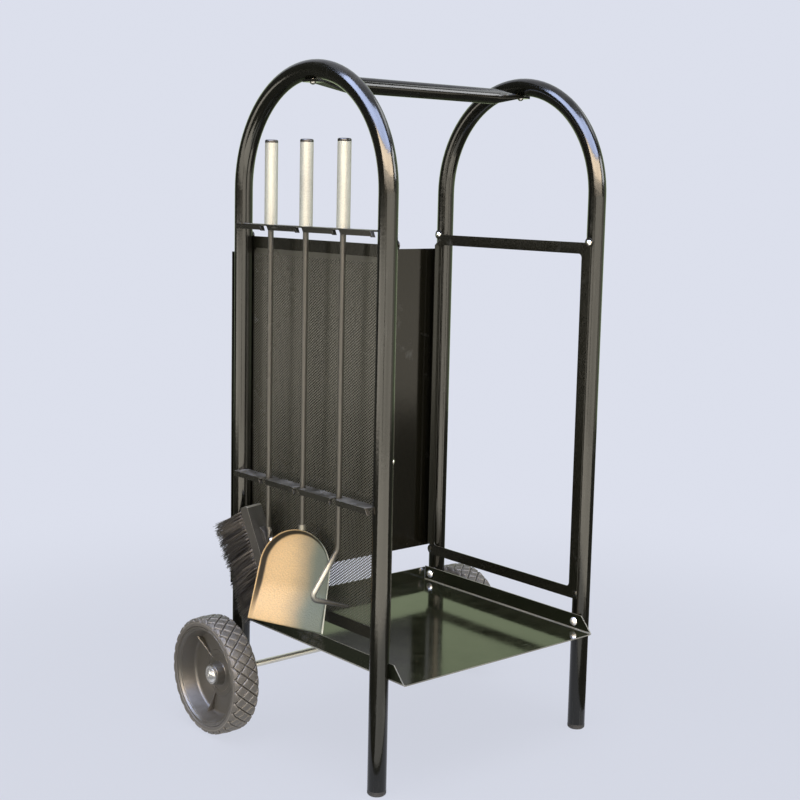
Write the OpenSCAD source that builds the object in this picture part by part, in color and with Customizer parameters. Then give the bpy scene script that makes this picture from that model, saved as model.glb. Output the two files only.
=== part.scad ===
// Fireside log cart: two bent-tube hoops, a folded log tray, side frames, a back panel,
// two wheels on a through axle, and a rack with a brush, a shovel and a poker.
// Millimetres. +Z is up, the open loading side faces -Y, the tools hang on the -X side,
// and the origin lies on the floor under the middle of the cart.

/* [Hoops] */
// Distance between the two hoops, tube centre to tube centre
hoop_spacing = 334; // [300:1:370]
// Distance between the front and rear legs of a hoop, tube centre to tube centre
leg_spacing = 274; // [250:1:300]
// Height of the cart over the crowns of the hoops
cart_h = 826; // [790:1:880]
// Outside diameter of the hoop tube
tube_d = 22; // [19:0.5:25]
// Wall of the hoop tube
tube_wall = 1.5; // [1:0.1:2.5]
// Height of the rim of the plastic cap under each front leg
foot_cap_h = 6; // [4:0.5:10]
// Length of the plug that each end cap has inside its tube
cap_plug_h = 6; // [4:0.5:7]
// Height of the rim of the plastic cap under each rear leg
rear_cap_h = 4; // [3:0.5:6]
// Distance from the axle down to the underside of the rear end caps
leg_below_axle = 16; // [15:0.5:24]

/* [Handle bar] */
// Outside diameter of the bar between the crowns
bar_d = 19; // [15:0.5:22]
// Length of the flattened taper at each end of the bar
bar_taper = 40; // [25:1:55]
// Width of the flat tab at each end of the bar
tab_w = 22; // [16:1:26]
// Thickness of the flat tab
tab_t = 3; // [2.5:0.1:4]
// How far the tab reaches past the middle of the hoop tube
tab_past = 9; // [6.5:0.5:12]
// How far the round part of the bar stops short of the tab's inner end
tab_len = 17; // [13:1:26]

/* [Side frames] */
// Thickness of the frame plate
frame_t = 1.5; // [1:0.1:2.5]
// Width of the strips of a side frame
strip_w = 14; // [11:0.5:18]
// Distance from the top of the cart down to the top edge of the side frames
frame_drop = 204; // [190:1:216]
// Height of the lower edge of the side frames above the floor
frame_bottom = 172.5; // [165:0.5:185]
// Radius of the inner corners of the frame window
frame_corner = 5; // [2:0.5:8]
// Radius of the ears around the upper screws
ear_r = 6; // [5:0.5:8]
// How far the rear edge of the frame is folded inwards
fold_w = 10; // [6:0.5:16]
// Thickness of the mesh
mesh_t = 0.8; // [0.5:0.1:1.5]
// Pitch of the diamonds of the mesh
mesh_pitch = 28; // [27:1:36]
// Width of the strands of the mesh
mesh_strand = 3; // [2:0.5:5]

/* [Back panel] */
// Thickness of the back panel
panel_t = 1.2; // [0.8:0.1:2]
// Distance from the top of the cart down to the top edge of the back panel
panel_drop = 223.5; // [213:0.5:246]
// Height of the lower edge of the back panel above the floor
panel_bottom = 183.5; // [160:0.5:200]
// How far each side of the panel stops short of the outside of the tubes
panel_short = 2.5; // [0:0.5:8]

/* [Log tray] */
// Thickness of the tray sheet
tray_t = 1.5; // [1:0.1:2.5]
// Height of the upper face of the tray floor
tray_z = 134; // [126:0.5:144]
// Height of the side and rear flanges above the tray floor
flange_h = 19; // [17:0.5:24]
// How far the tray floor reaches in front of the front legs
tray_front = 18.5; // [10:0.5:30]
// How far the tray stops short of the back panel
tray_rear_gap = 1; // [0.5:0.5:6]
// Outer radius of the folds of the tray
fold_r = 3; // [2.6:0.1:4]
// Height of the tray bolts above the tray floor
tray_bolt_up = 9; // [7:0.5:11]

/* [Fasteners] */
// Diameter of the domed heads of the tray bolts
tray_head_d = 11; // [8:0.5:13]
// Height of the domed heads of the tray bolts
tray_head_h = 3.4; // [2:0.1:5]
// Diameter of the heads of the frame, panel and handle screws
screw_head_d = 8; // [7:0.5:10]
// Height of the heads of the frame, panel and handle screws
screw_head_h = 2.8; // [1.8:0.1:4]
// Height of the flat heads of the lower frame screws
low_head_h = 1.4; // [1:0.1:2.5]
// Diameter of every screw's shank
shank_d = 5; // [3.5:0.1:6]
// Diameter of the round end of the leg joint rivets
rivet_d = 6; // [4:0.5:8]
// Height of the leg joint rivets above the floor
leg_joint_z = 385; // [340:1:430]

/* [Wheels] */
// Outside diameter of a tyre
wheel_d = 148; // [140:1:160]
// Width of a tyre
wheel_w = 36; // [32:0.5:42]
// Distance between the middle planes of the two wheels
wheel_track = 416.5; // [412:0.5:440]
// Thickness of the solid tyre from rim to tread
tyre_h = 11; // [9:0.5:15]
// Rounding of the tyre's shoulders
tyre_round = 4.5; // [2:0.5:5]
// Number of tread grooves that run each way round the tyre
tread_count = 30; // [18:1:32]
// Angle of the tread grooves from the axle's direction
tread_angle = 40; // [25:1:42]
// Width of a tread groove
groove_w = 1.9; // [1:0.1:2.5]
// Depth of a tread groove in the middle of the tread
groove_depth = 3.2; // [2.2:0.1:3.6]
// Wall of the hub's rim barrel
rim_wall = 3; // [2:0.5:4]
// How far the disc of the hub lies inside the outer face of the wheel
dish_depth = 24; // [16:0.5:26]
// Thickness of the hub's disc
disc_t = 3; // [2:0.5:5]
// Diameter of the hub's middle boss
boss_d = 30; // [26:0.5:36]
// How far the boss stops short of the outer face of the wheel
boss_inset = 12.5; // [9:0.5:20]
// Number of ribs on the hub's disc
rib_count = 3; // [3:1:9]
// Thickness of a rib
rib_t = 1.8; // [1:0.1:3]
// Height of a gusset rib where it meets the wall of the dish
rib_h = 9; // [5:0.5:12]
// Diameter of the axle
axle_d = 8; // [6:0.5:10]
// Radial running clearance of the hub on the axle
axle_clear = 0.08; // [0.03:0.01:0.1]
// How far the axle lies in front of the middle of the rear legs
axle_forward = 3.5; // [0:0.5:3.5]
// Thickness of the washers between hub and leg
washer_t = 2; // [1:0.1:2.2]
// Diameter of the washers
washer_d = 18; // [14:0.5:22]
// Diameter of the axle end caps
axle_cap_d = 23; // [18:0.5:25]
// Height of the axle end caps
axle_cap_h = 5; // [4:0.2:7]
// Side play of a wheel at each face of its boss
side_play = 0.3; // [0.2:0.1:0.5]

/* [Tool racks] */
// Distance from the top of the cart down to the upper rack's top face
rack_drop = 188; // [180:1:192]
// Height of the lower rack's top face
lower_rack_z = 333; // [322:0.5:342]
// Thickness of the rack sheet
rack_t = 1.8; // [1.2:0.1:2.5]
// How far the racks stand out from the outside of the legs
rack_out = 7; // [5:0.5:10]
// Height of the lip along the rack's outer edge
lip_h = 6.5; // [5:0.5:9]
// How far the ends of a rack stop short of the middle of the legs
rack_short = 8.5; // [7:0.5:9.5]
// Depth of the turned end of each rack finger
tongue = 5; // [3:0.5:9]
// Width of the slots that hold the tool rods
slot_w = 9; // [8:0.5:11]
// Distance between neighbouring tools
tool_pitch = 69; // [62:0.5:76]
// How far the tool rods hang inside the outer face of the rack lip
rod_in = 10.5; // [9:0.5:12]
// Gap between a rack and the curved side of the leg that it is welded to
weld_gap = 0.1; // [0.05:0.05:0.3]

/* [Tools] */
// Diameter of the tool rods
rod_d = 6.8; // [6:0.1:7.4]
// Diameter of the tool handles
handle_d = 15.5; // [14:0.5:18]
// Length of the tool handles without their caps
handle_len = 95; // [80:1:110]
// Height of the round cap on each handle
handle_cap_h = 3.6; // [2.5:0.1:6]
// Depth of the rod's socket in the handle
handle_socket = 60; // [30:1:75]
// Gap under a handle that rests on the upper rack
handle_gap = 0.2; // [0.1:0.05:0.4]

/* [Poker] */
// Height of the bend at the end of the poker's straight rod
poker_bend_z = 273; // [265:1:285]
// How far the poker's barb stands out from its rod
poker_out = 33; // [28:0.5:34]
// Height of the poker's elbow
poker_elbow_z = 217; // [214:0.5:226]
// How far the poker's point reaches back past its rod
poker_back = 16; // [10:0.5:16]
// Height of the poker's point
poker_tip_z = 203; // [196:0.5:206]
// Turn of the poker about its rod, from straight outwards
poker_turn = 17; // [12:1:18]

/* [Shovel] */
// Width of the shovel pan at its open edge
pan_w = 101; // [92:1:101]
// Width of the shovel pan where its arch begins
pan_arch_w = 94; // [84:1:94]
// Length of the shovel pan
pan_len = 113.5; // [100:0.5:113.5]
// Depth of the dished pan
pan_depth = 10; // [7:0.5:11]
// How much narrower the floor of the pan is on each side
pan_flare = 3; // [1:0.5:5]
// Thickness of the pan's sheet
pan_t = 1.2; // [0.9:0.1:1.6]
// Lean of the pan from its rod
pan_lean = 14; // [10:0.5:14]
// Turn of the shovel about its rod
pan_turn = 25; // [20:1:25]
// Swing of the pan in its own plane, towards the rear
pan_swing = 2.5; // [0:0.5:2.5]
// How far the pan's rim lies in front of the rod at the top of the arch
pan_ahead = 4.4; // [3.5:0.1:4.5]
// Height of the top of the pan's arch
pan_top_z = 282.4; // [275:0.1:292]
// Diameter of the socket between rod and pan
socket_d = 9.2; // [8.4:0.1:11]
// Length of the socket between rod and pan
socket_len = 6; // [5:0.5:9]

/* [Brush] */
// Lean of the brush head from upright
brush_lean = 22.2; // [18:0.1:24]
// Turn of the brush about its rod
brush_turn = 15; // [12:1:18]
// Height of the bend of the brush rod
brush_bend_z = 271.5; // [268:0.5:274]
// Length of the rod's foot that lies along the brush head
brush_foot = 30; // [26:0.5:34]
// Width of the flattened end of the foot
foot_w = 10; // [8:0.5:12]
// Thickness of the flattened end of the foot
foot_t = 3; // [2.4:0.1:3.6]
// Distance of the brush bolt from the bend, along the foot
brush_bolt_at = 17; // [15:0.5:19]
// Length of the brush head above the bend
head_up = 31.5; // [26:0.5:34]
// Length of the brush head below the bend
head_down = 86; // [76:0.5:88]
// Width of the brush head
head_w = 27; // [22:0.5:28]
// How far the middle of the brush head lies outside the rod
head_side = 5.5; // [4:0.5:7]
// Thickness of the brush head
head_t = 11; // [8:0.5:13]
// Thickness of the raised pad under the rod's foot
pad_t = 4; // [2:0.5:5]
// Thickness of the backing slice that the bristles grow from
slice_t = 1.5; // [1:0.1:2.5]
// Free length of the bristles
bristle_len = 49.5; // [40:0.5:54]
// Thickness of a bristle
bristle_d = 1.1; // [0.8:0.1:1.3]
// Bristles along the head
bristle_rows = 34; // [20:1:36]
// Bristles across the head
bristle_cols = 12; // [8:1:12]
// How far the bristles fan out at their tips, over the width of the head
bristle_fan = 5; // [0:0.5:6]
// Gap between the brush head's pad and the rod's foot
foot_gap = 0.1; // [0.1:0.05:0.3]

/* [Hidden] */
$fn = 64;

hx = hoop_spacing / 2;                 // hoop planes
ly = leg_spacing / 2;                  // leg axes
tr = tube_d / 2;
bore_r = tr - tube_wall;
spring_z = cart_h - tr - ly;           // where the legs turn into the arch
frame_top = cart_h - frame_drop;
panel_top = cart_h - panel_drop;
upper_rack_z = cart_h - rack_drop;
in_x = hx - tr;                        // inner side of the legs
out_x = hx + tr;                       // outer side of the legs
seat = 0.1;                            // gap between a flat sheet and a round leg
cap_fit = 0.05;                        // gap round a plug or a screw in its hole
wheel_r = wheel_d / 2;
axle_r = axle_d / 2;
axle_y = ly - axle_forward;
wheel_x = wheel_track / 2;             // middle plane of a wheel
frame_x = in_x - seat;                 // outer face of the side frames
strip_front = -ly - strip_w / 4;       // front edge of the side frames
fold_y = ly - 3;                       // rear face of the folded rear edge
screw_top_z = frame_top;
fold_gap = screw_head_d / 2 + 0.6;      // keeps the folded edge clear of the screws
screw_low_z = frame_bottom + strip_w / 2;
shank_r = shank_d / 2;
tray_x = in_x - seat;                  // outer face of the tray's side flanges
tray_front_y = -ly - tr - tray_front;
panel_y = ly + tr + seat;              // front face of the back panel
tray_rear_y = panel_y - tray_rear_gap;
rack_x = out_x + rack_out;             // outer face of the racks
rod_x = rack_x - rod_in;               // tool rods
rod_r = rod_d / 2;
handle_z = upper_rack_z + handle_gap;
tab_drop = (ly - tr) - sqrt(pow(ly - tr, 2) - pow(tab_w / 2, 2));
tab_z = cart_h - tube_d - tab_drop - seat;   // top face of the bar's tabs
y_mid = (axle_y + wheel_r + tray_front_y) / 2;
black = [0.10, 0.10, 0.09];
steel = [0.78, 0.79, 0.80];
cream = [0.90, 0.88, 0.80];

module place() { translate([0, -y_mid, 0]) children(); }

// A rounded rectangle from corner [x0, y0] to [x1, y1] with true arcs.
module soft_rect(x0, y0, x1, y1, r) {
  translate([x0 + r, y0]) square([x1 - x0 - 2 * r, y1 - y0]);
  translate([x0, y0 + r]) square([x1 - x0, y1 - y0 - 2 * r]);
  for (x = [x0 + r, x1 - r]) for (y = [y0 + r, y1 - r]) translate([x, y]) circle(r);
}

// A shape drawn in Y and Z, given the thickness t towards +X.
module in_yz(t) { rotate([90, 0, 90]) linear_extrude(t) children(); }

// A screw along +Z: its domed head starts at z = 0 and its shank goes down.
module screw(head_d, head_h, shank, depth) {
  r = (pow(head_d / 2, 2) + pow(head_h, 2)) / (2 * head_h);
  intersection() {
    translate([0, 0, head_h - r]) sphere(r);
    cylinder(h = head_h, d = head_d);
  }
  translate([0, 0, -depth]) cylinder(h = depth + 0.5, r = shank / 2 - cap_fit);
}

// The half ring at the top of a hoop, of section radius r.
module arch(x, r) {
  translate([x, 0, spring_z]) rotate([90, 0, 90])
    rotate_extrude(angle = 180) translate([ly, 0]) circle(r);
}

// A straight leg of radius r from height z0 to z1.
module leg(x, y, z0, z1, r) { translate([x, y, z0]) cylinder(h = z1 - z0, r = r); }

// One hoop: both legs and the arch of one bent tube, drilled for everything it carries.
module hoop(side) {
  x = side * hx;
  rear_z = wheel_r - leg_below_axle + rear_cap_h;
  color(black) place() difference() {
    union() {
      arch(x, tr);
      leg(x, -ly, foot_cap_h, spring_z, tr);
      leg(x, ly, rear_z, spring_z, tr);
    }
    union() {
      arch(x, bore_r);
      leg(x, -ly, foot_cap_h - 1, spring_z, bore_r);
      leg(x, ly, rear_z - 1, spring_z, bore_r);
    }
    // axle holes through both walls of the rear leg
    translate([x - tube_d, axle_y, wheel_r]) rotate([0, 90, 0])
      cylinder(h = 2 * tube_d, r = axle_r + axle_clear);
    // frame and tray screws enter the inner wall of each leg
    for (y = [-ly, ly]) for (z = [screw_top_z, screw_low_z, tray_z + tray_bolt_up])
      translate([x, y, z]) rotate([0, -side * 90, 0]) cylinder(h = tube_d, r = shank_r);
    // panel screws enter the rear wall of the rear leg
    for (z = panel_screw_z) translate([x, ly, z]) rotate([-90, 0, 0])
      cylinder(h = tube_d, r = shank_r);
    // the handle screw enters the crown from below
    translate([x, 0, cart_h - tube_d - 4]) cylinder(h = tr + 4, r = shank_r);
    // the leg joint rivet sits in the front leg
    translate([x, -ly, leg_joint_z]) rotate([0, -side * 90, 0]) rotate([-side * 42, 0, 0])
      cylinder(h = tube_d, r = rivet_shank);
  }
}
rivet_shank = rivet_d / 3;
panel_screw_z = [panel_bottom + 20, (panel_bottom + panel_top) / 2, panel_top - 20];

module left_hoop() { hoop(-1); }
module right_hoop() { hoop(1); }

// A plastic end cap: a rim as wide as the tube with a rounded lower edge, and a plug.
module end_cap(rim_h) {
  round = min(2.5, rim_h / 2);
  rotate_extrude() {
    translate([0, round]) square([tr, rim_h - round]);
    square([tr - round, rim_h]);
    translate([tr - round, round]) circle(round);
    square([bore_r - cap_fit, rim_h + cap_plug_h]);
  }
}
module foot_caps() {
  color([0.07, 0.07, 0.07]) place()
    for (s = [-1, 1]) translate([s * hx, -ly, 0]) end_cap(foot_cap_h);
}
module rear_leg_caps() {
  color([0.07, 0.07, 0.07]) place() for (s = [-1, 1])
    translate([s * hx, ly, wheel_r - leg_below_axle]) end_cap(rear_cap_h);
}

// The bar between the crowns: a round tube pressed flat into a drilled tab at each end.
module handle_bar() {
  tab_in = hx + tab_past - tab_len;
  round_end = tab_in - bar_taper;
  bar_z = tab_z - bar_d * 0.13;
  color(black) place() difference() {
    union() {
      translate([-round_end, 0, bar_z]) rotate([0, 90, 0])
        cylinder(h = 2 * round_end, d = bar_d);
      for (s = [-1, 1]) {
        hull() {
          translate([s * round_end, 0, bar_z]) rotate([0, 90, 0])
            cylinder(h = 0.02, d = bar_d, center = true, $fn = 36);
          translate([s * tab_in, 0, tab_z - tab_t / 2])
            cube([0.02, tab_w, tab_t], center = true);
        }
        translate([min(s * tab_in, s * (hx + tab_past - 3)), -tab_w / 2, tab_z - tab_t])
          cube([tab_len - 3, tab_w, tab_t]);
        translate([s * (hx + tab_past) - (s > 0 ? 5 : 0), 0, tab_z - tab_t])
          translate([0, -tab_w / 2 + 3, 0]) cube([5, tab_w - 6, tab_t]);
      }
    }
    for (s = [-1, 1]) translate([s * hx, 0, tab_z - tab_t - 1])
      cylinder(h = tab_t + 2, r = shank_r);
  }
}
module handle_bolts() {
  color(steel) place() for (s = [-1, 1]) translate([s * hx, 0, tab_z - tab_t])
    rotate([180, 0, 0]) screw(screw_head_d, screw_head_h, shank_d, tab_t + tr);
}

// A side frame: three strips of flat plate round an open window, with ears at the upper
// screws and a folded rear edge whose ends are cut at a slant. side is -1 or 1.
module side_frame(side) {
  x0 = side > 0 ? frame_x - frame_t : -frame_x;
  color(black) place() difference() {
    union() {
      translate([x0, 0, 0]) in_yz(frame_t) difference() {
        union() {
          translate([strip_front, frame_bottom])
            square([fold_y - strip_front, frame_top - frame_bottom]);
          for (y = [-ly, ly]) translate([y, frame_top]) circle(ear_r);
          translate([fold_y - 1, screw_low_z]) square([ly - fold_y + 1, 0.01]);
          translate([ly, screw_low_z]) circle(ear_r);
        }
        soft_rect(strip_front + strip_w, frame_bottom + strip_w,
                  fold_y - strip_w / 3.5, frame_top - strip_w, frame_corner);
      }
      translate([0, fold_y, 0]) rotate([90, 0, 0]) linear_extrude(frame_t)
        polygon([[side * frame_x, screw_low_z + fold_gap],
                 [side * frame_x, screw_top_z - fold_gap],
                 [side * (frame_x - fold_w), frame_top - 1.4 * fold_w],
                 [side * (frame_x - fold_w), frame_bottom + 1.8 * fold_w]]);
    }
    for (y = [-ly, ly]) for (z = [screw_top_z, screw_low_z])
      translate([side * (frame_x - 4), y, z]) rotate([0, side * 90, 0])
        cylinder(h = 8, r = shank_r);
  }
}
module left_side_frame() { side_frame(-1); }
module right_side_frame() { side_frame(1); }

// The mesh inside the left frame: a thin sheet with staggered diamond openings.
module left_mesh_panel() {
  y0 = strip_front + strip_w / 2;
  y1 = fold_y - frame_t - 0.3;
  z0 = frame_bottom + strip_w / 2 + screw_head_d / 2 + 1;
  z1 = frame_top - strip_w / 2 - 1;
  p = mesh_pitch;
  cols = floor((y1 - y0 - 8) / p);
  rows = floor((z1 - z0 - 4) / p);
  ym = (y0 + y1) / 2;
  zm = (z0 + z1) / 2;
  color([0.14, 0.14, 0.13]) place()
    translate([-frame_x + frame_t + cap_fit, 0, 0]) in_yz(mesh_t) difference() {
      translate([y0, z0]) square([y1 - y0, z1 - z0]);
      for (i = [0:cols - 1]) for (j = [0:rows - 1])
        translate([ym + (i - (cols - 1) / 2) * p, zm + (j - (rows - 1) / 2) * p])
          mesh_diamond(p - mesh_strand * 1.42);
      for (i = [0:cols - 2]) for (j = [0:rows - 2])
        translate([ym + (i - (cols - 2) / 2) * p, zm + (j - (rows - 2) / 2) * p])
          mesh_diamond(p - mesh_strand * 1.42);
    }
}
module mesh_diamond(d) { polygon([[d / 2, 0], [0, d / 2], [-d / 2, 0], [0, -d / 2]]); }

// Bright screws through the ears of each side frame, heads inside the cart, and flat
// black ones through its lower corners.
module frame_screws() {
  color(steel) place() for (s = [-1, 1]) for (y = [-ly, ly])
    translate([s * (frame_x - frame_t), y, screw_top_z]) rotate([0, -s * 90, 0])
      screw(screw_head_d, screw_head_h, shank_d, frame_t + seat + tr);
}
module frame_low_screws() {
  color(black) place() for (s = [-1, 1]) for (y = [-ly, ly])
    translate([s * (frame_x - frame_t), y, screw_low_z]) rotate([0, -s * 90, 0])
      screw(screw_head_d, low_head_h, shank_d, frame_t + seat + tr);
}

// The sheet behind the rear legs.
module back_panel() {
  w = out_x - panel_short;
  color(black) place() difference() {
    translate([-w, panel_y, panel_bottom]) cube([2 * w, panel_t, panel_top - panel_bottom]);
    for (s = [-1, 1]) for (z = panel_screw_z) translate([s * hx, panel_y - 1, z])
      rotate([-90, 0, 0]) cylinder(h = panel_t + 2, r = shank_r);
  }
}
module panel_screws() {
  color(black) place() for (s = [-1, 1]) for (z = panel_screw_z)
    translate([s * hx, panel_y + panel_t, z]) rotate([-90, 0, 0])
      screw(screw_head_d, screw_head_h, shank_d, panel_t + tr);
}

// The log tray: one sheet folded up at both sides and at the rear, its front edge open.
module log_tray() {
  z0 = tray_z - tray_t;
  h = tray_t + flange_h;
  run = tray_rear_y - tray_front_y;
  color(black) place() difference() {
    union() {
      translate([0, tray_rear_y, z0]) rotate([90, 0, 0]) linear_extrude(run) difference() {
        tray_section(tray_x, 0, h, fold_r);
        tray_section(tray_x - tray_t, tray_t, h + 1, fold_r - tray_t);
      }
      translate([-tray_x + fold_r, tray_rear_y - tray_t, z0])
        cube([2 * (tray_x - fold_r), tray_t, h - 1]);
    }
    // the flanges slant down to the front edge
    translate([-hoop_spacing, 0, 0]) in_yz(2 * hoop_spacing)
      polygon([[tray_front_y - 1, tray_z + 1], [tray_front_y, tray_z],
               [tray_front_y + tray_front - 1, tray_z + flange_h],
               [tray_front_y + tray_front - 1, tray_z + flange_h + 5],
               [tray_front_y - 1, tray_z + flange_h + 5]]);
    for (s = [-1, 1]) for (y = [-ly, ly])
      translate([s * (tray_x - 4), y, tray_z + tray_bolt_up]) rotate([0, s * 90, 0])
        cylinder(h = 8, r = shank_r);
  }
}
// Cross-section of the tray from -x to x, with rounded lower corners.
module tray_section(x, y, top, r) {
  translate([-x + r, y]) square([2 * (x - r), top - y]);
  translate([-x, y + r]) square([2 * x, top - y - r]);
  for (s = [-1, 1]) translate([s * (x - r), y + r]) circle(r);
}
module tray_bolts() {
  color([0.92, 0.92, 0.90]) place() for (s = [-1, 1]) for (y = [-ly, ly])
    translate([s * (tray_x - tray_t), y, tray_z + tray_bolt_up]) rotate([0, -s * 90, 0])
      screw(tray_head_d, tray_head_h, shank_d, tray_t + seat + tr);
}

// A tool rack: a shelf between the legs, notched round them, with three open slots and a
// lip whose fingers are cut at a slant and turned down at their front ends.
slot_ys = [tool_pitch, 0, -tool_pitch];
rack_end = ly - rack_short;
module rack(z) {
  finger = [rack_end, for (y = slot_ys) y, -rack_end];
  low = z - lip_h;
  color(black) place() {
    difference() {
      translate([-rack_x, -rack_end, z - rack_t])
        cube([rack_out + 1.2 * tube_d, 2 * rack_end, rack_t]);
      for (y = [-ly, ly]) translate([-hx, y, z - rack_t - 1])
        cylinder(h = rack_t + 2, r = tr + weld_gap);
      translate([-rod_x_in, -rack_end - 1, z - rack_t - 1])
        cube([tube_d * 2, 2 * rack_end + 2, rack_t + 2]);
      for (y = slot_ys) {
        translate([-rod_x, y, z - rack_t - 1]) cylinder(h = rack_t + 2, d = slot_w);
        translate([-rack_x - 1, y - slot_w / 2, z - rack_t - 1])
          cube([rack_x - rod_x + 1, slot_w, rack_t + 2]);
      }
    }
    for (i = [0:3]) {
      a = i == 0 ? rack_end : finger[i] - slot_w / 2;
      a_low = i == 0 ? rack_end : a - 4;
      b = i == 3 ? -rack_end : finger[i + 1] + slot_w / 2 + 3.3;
      translate([-rack_x, 0, 0]) in_yz(rack_t)
        polygon([[a, z], [b, z], [b - 3.6, low - 1], [b - 1.8, low - 1], [b, low],
                 [a_low, low]]);
      // the turned end of the finger
      translate([-rack_x, 0, 0]) in_yz(tongue)
        polygon([[b + 1.6, z], [b, z], [b - 3.6, low - 1], [b - 2, low - 1]]);
    }
  }
}
rod_x_in = rod_x - rod_r - 5.6;        // inner edge of the racks
module upper_tool_rack() { rack(upper_rack_z); }
module lower_tool_rack() { rack(lower_rack_z); }

// A round-headed rivet in each front leg, turned towards the front.
module leg_rivets() {
  color(steel) place() for (s = [-1, 1]) translate([s * hx, -ly, leg_joint_z])
    rotate([0, -s * 90, 0]) rotate([-s * 42, 0, 0]) translate([0, 0, tr + seat / 2])
      screw(rivet_d, 1.6, 2 * rivet_shank, tube_wall + 1);
}

// The bare axle rod under the tray.
boss_out = wheel_x + wheel_w / 2 - boss_inset;   // outer face of a wheel's boss
boss_in = out_x + seat + washer_t + side_play;   // inner face of a wheel's boss
cap_x = boss_out + side_play;
module axle() {
  e = cap_x + axle_cap_h - 2;
  color(steel) place() translate([-e, axle_y, wheel_r]) rotate([0, 90, 0])
    cylinder(h = 2 * e, r = axle_r);
}
module axle_washers() {
  color(steel) place() for (s = [-1, 1])
    translate([s * (out_x + seat), axle_y, wheel_r]) rotate([0, s * 90, 0]) difference() {
      cylinder(h = washer_t, d = washer_d);
      translate([0, 0, -1]) cylinder(h = washer_t + 2, r = axle_r + cap_fit);
    }
}
// A pressed steel cap on each end of the axle.
module axle_caps() {
  r = (pow(axle_cap_d / 2 - 2, 2) + pow(axle_cap_h - 1, 2)) / (2 * (axle_cap_h - 1));
  color([0.95, 0.95, 0.95]) place() for (s = [-1, 1])
    translate([s * cap_x, axle_y, wheel_r]) rotate([0, s * 90, 0]) difference() {
      union() {
        cylinder(h = 1.2, d = axle_cap_d);
        intersection() {
          translate([0, 0, axle_cap_h - r]) sphere(r);
          cylinder(h = axle_cap_h, d = axle_cap_d - 4);
        }
      }
      translate([0, 0, -1]) cylinder(h = axle_cap_h - 1, r = axle_r + cap_fit);
    }
}

// A wheel stands on its axis with its outer face towards +Z, the middle plane at z = 0.
module at_wheel(s) {
  place() translate([s * wheel_x, axle_y, wheel_r]) rotate([0, s * 90, 0]) children();
}
module wheel_hub(s) {
  rim_r = wheel_r - tyre_h;
  half = wheel_w / 2;
  face = half - dish_depth;            // outer face of the disc
  boss_top = half - boss_inset;
  boss_bottom = boss_in - wheel_x;
  color([0.16, 0.15, 0.14]) at_wheel(s) difference() {
    union() {
      rotate_extrude() polygon([
        [0, boss_bottom], [boss_d / 2 - 3, boss_bottom], [boss_d / 2, face - disc_t],
        [rim_r - 12, face - disc_t], [rim_r - rim_wall, -half + 3], [rim_r, -half + 2],
        [rim_r, half - 1.6], [rim_r - 1, half - 0.6], [rim_r - rim_wall, half - 0.6],
        [rim_r - rim_wall - 2, half - 4], [rim_r - 10, face], [boss_d / 2, face],
        [boss_d / 2 - 1.5, boss_top], [0, boss_top]]);
      for (i = [0:rib_count - 1]) rotate([0, 0, i * 360 / rib_count + 45]) rotate([90, 0, 0])
        translate([0, 0, -rib_t / 2]) linear_extrude(rib_t)
          polygon([[boss_d / 2 + 5, face - 0.5], [rim_r - 8, face - 0.5],
                   [rim_r - 7, face + rib_h], [boss_d / 2 + 7, face + 0.6]]);
    }
    translate([0, 0, boss_bottom - 1])
      cylinder(h = boss_top - boss_bottom + 2, r = axle_r + axle_clear);
  }
}
// The solid tyre: a ring with rounded shoulders and two crossing sets of tread grooves
// that leave diamond blocks.
module tyre(s) {
  rim_r = wheel_r - tyre_h;
  half = wheel_w / 2;
  q = tyre_round;
  color([0.20, 0.19, 0.18]) at_wheel(s) difference() {
    rotate_extrude() {
      translate([rim_r, -half + 1.5]) square([tyre_h - q, wheel_w - 3]);
      translate([rim_r + 1.5, -half]) square([tyre_h - q - 1.5, wheel_w]);
      translate([rim_r, -half + q]) square([tyre_h, wheel_w - 2 * q]);
      for (z = [-half + q, half - q]) translate([wheel_r - q, z]) circle(q);
    }
    for (i = [0:tread_count - 1]) for (a = [-tread_angle, tread_angle])
      rotate([0, 0, i * 360 / tread_count]) translate([wheel_r, 0, 0]) rotate([a, 0, 0])
        cube([2 * groove_depth, groove_w, 3 * wheel_w], center = true);
  }
}
module left_wheel_hub() { wheel_hub(-1); }
module right_wheel_hub() { wheel_hub(1); }
module left_tyre() { tyre(-1); }
module right_tyre() { tyre(1); }

// A rod along a path of [out, height] points, with a rounded elbow at each inner point.
module rod_path(p, r) {
  for (i = [0:len(p) - 2]) {
    d = p[i + 1] - p[i];
    translate([p[i][0], 0, p[i][1]]) rotate([0, atan2(d[0], d[1]), 0])
      cylinder(h = norm(d), r = r);
    if (i > 0) translate([p[i][0], 0, p[i][1]]) sphere(r);
  }
}
rod_top = handle_z + handle_socket - 1;
module tool_handle(y) {
  color(cream) place() translate([-rod_x, y, handle_z]) difference() {
    cylinder(h = handle_len, d = handle_d);
    translate([0, 0, -1]) cylinder(h = handle_socket + 1, r = rod_r + cap_fit);
  }
}
module tool_cap(y) {
  q = handle_cap_h / 2;
  color(black) place() translate([-rod_x, y, handle_z + handle_len]) rotate_extrude() {
    square([handle_d / 2 - q, handle_cap_h]);
    square([handle_d / 2, handle_cap_h - q]);
    translate([handle_d / 2 - q, handle_cap_h - q]) circle(q);
  }
}

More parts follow.
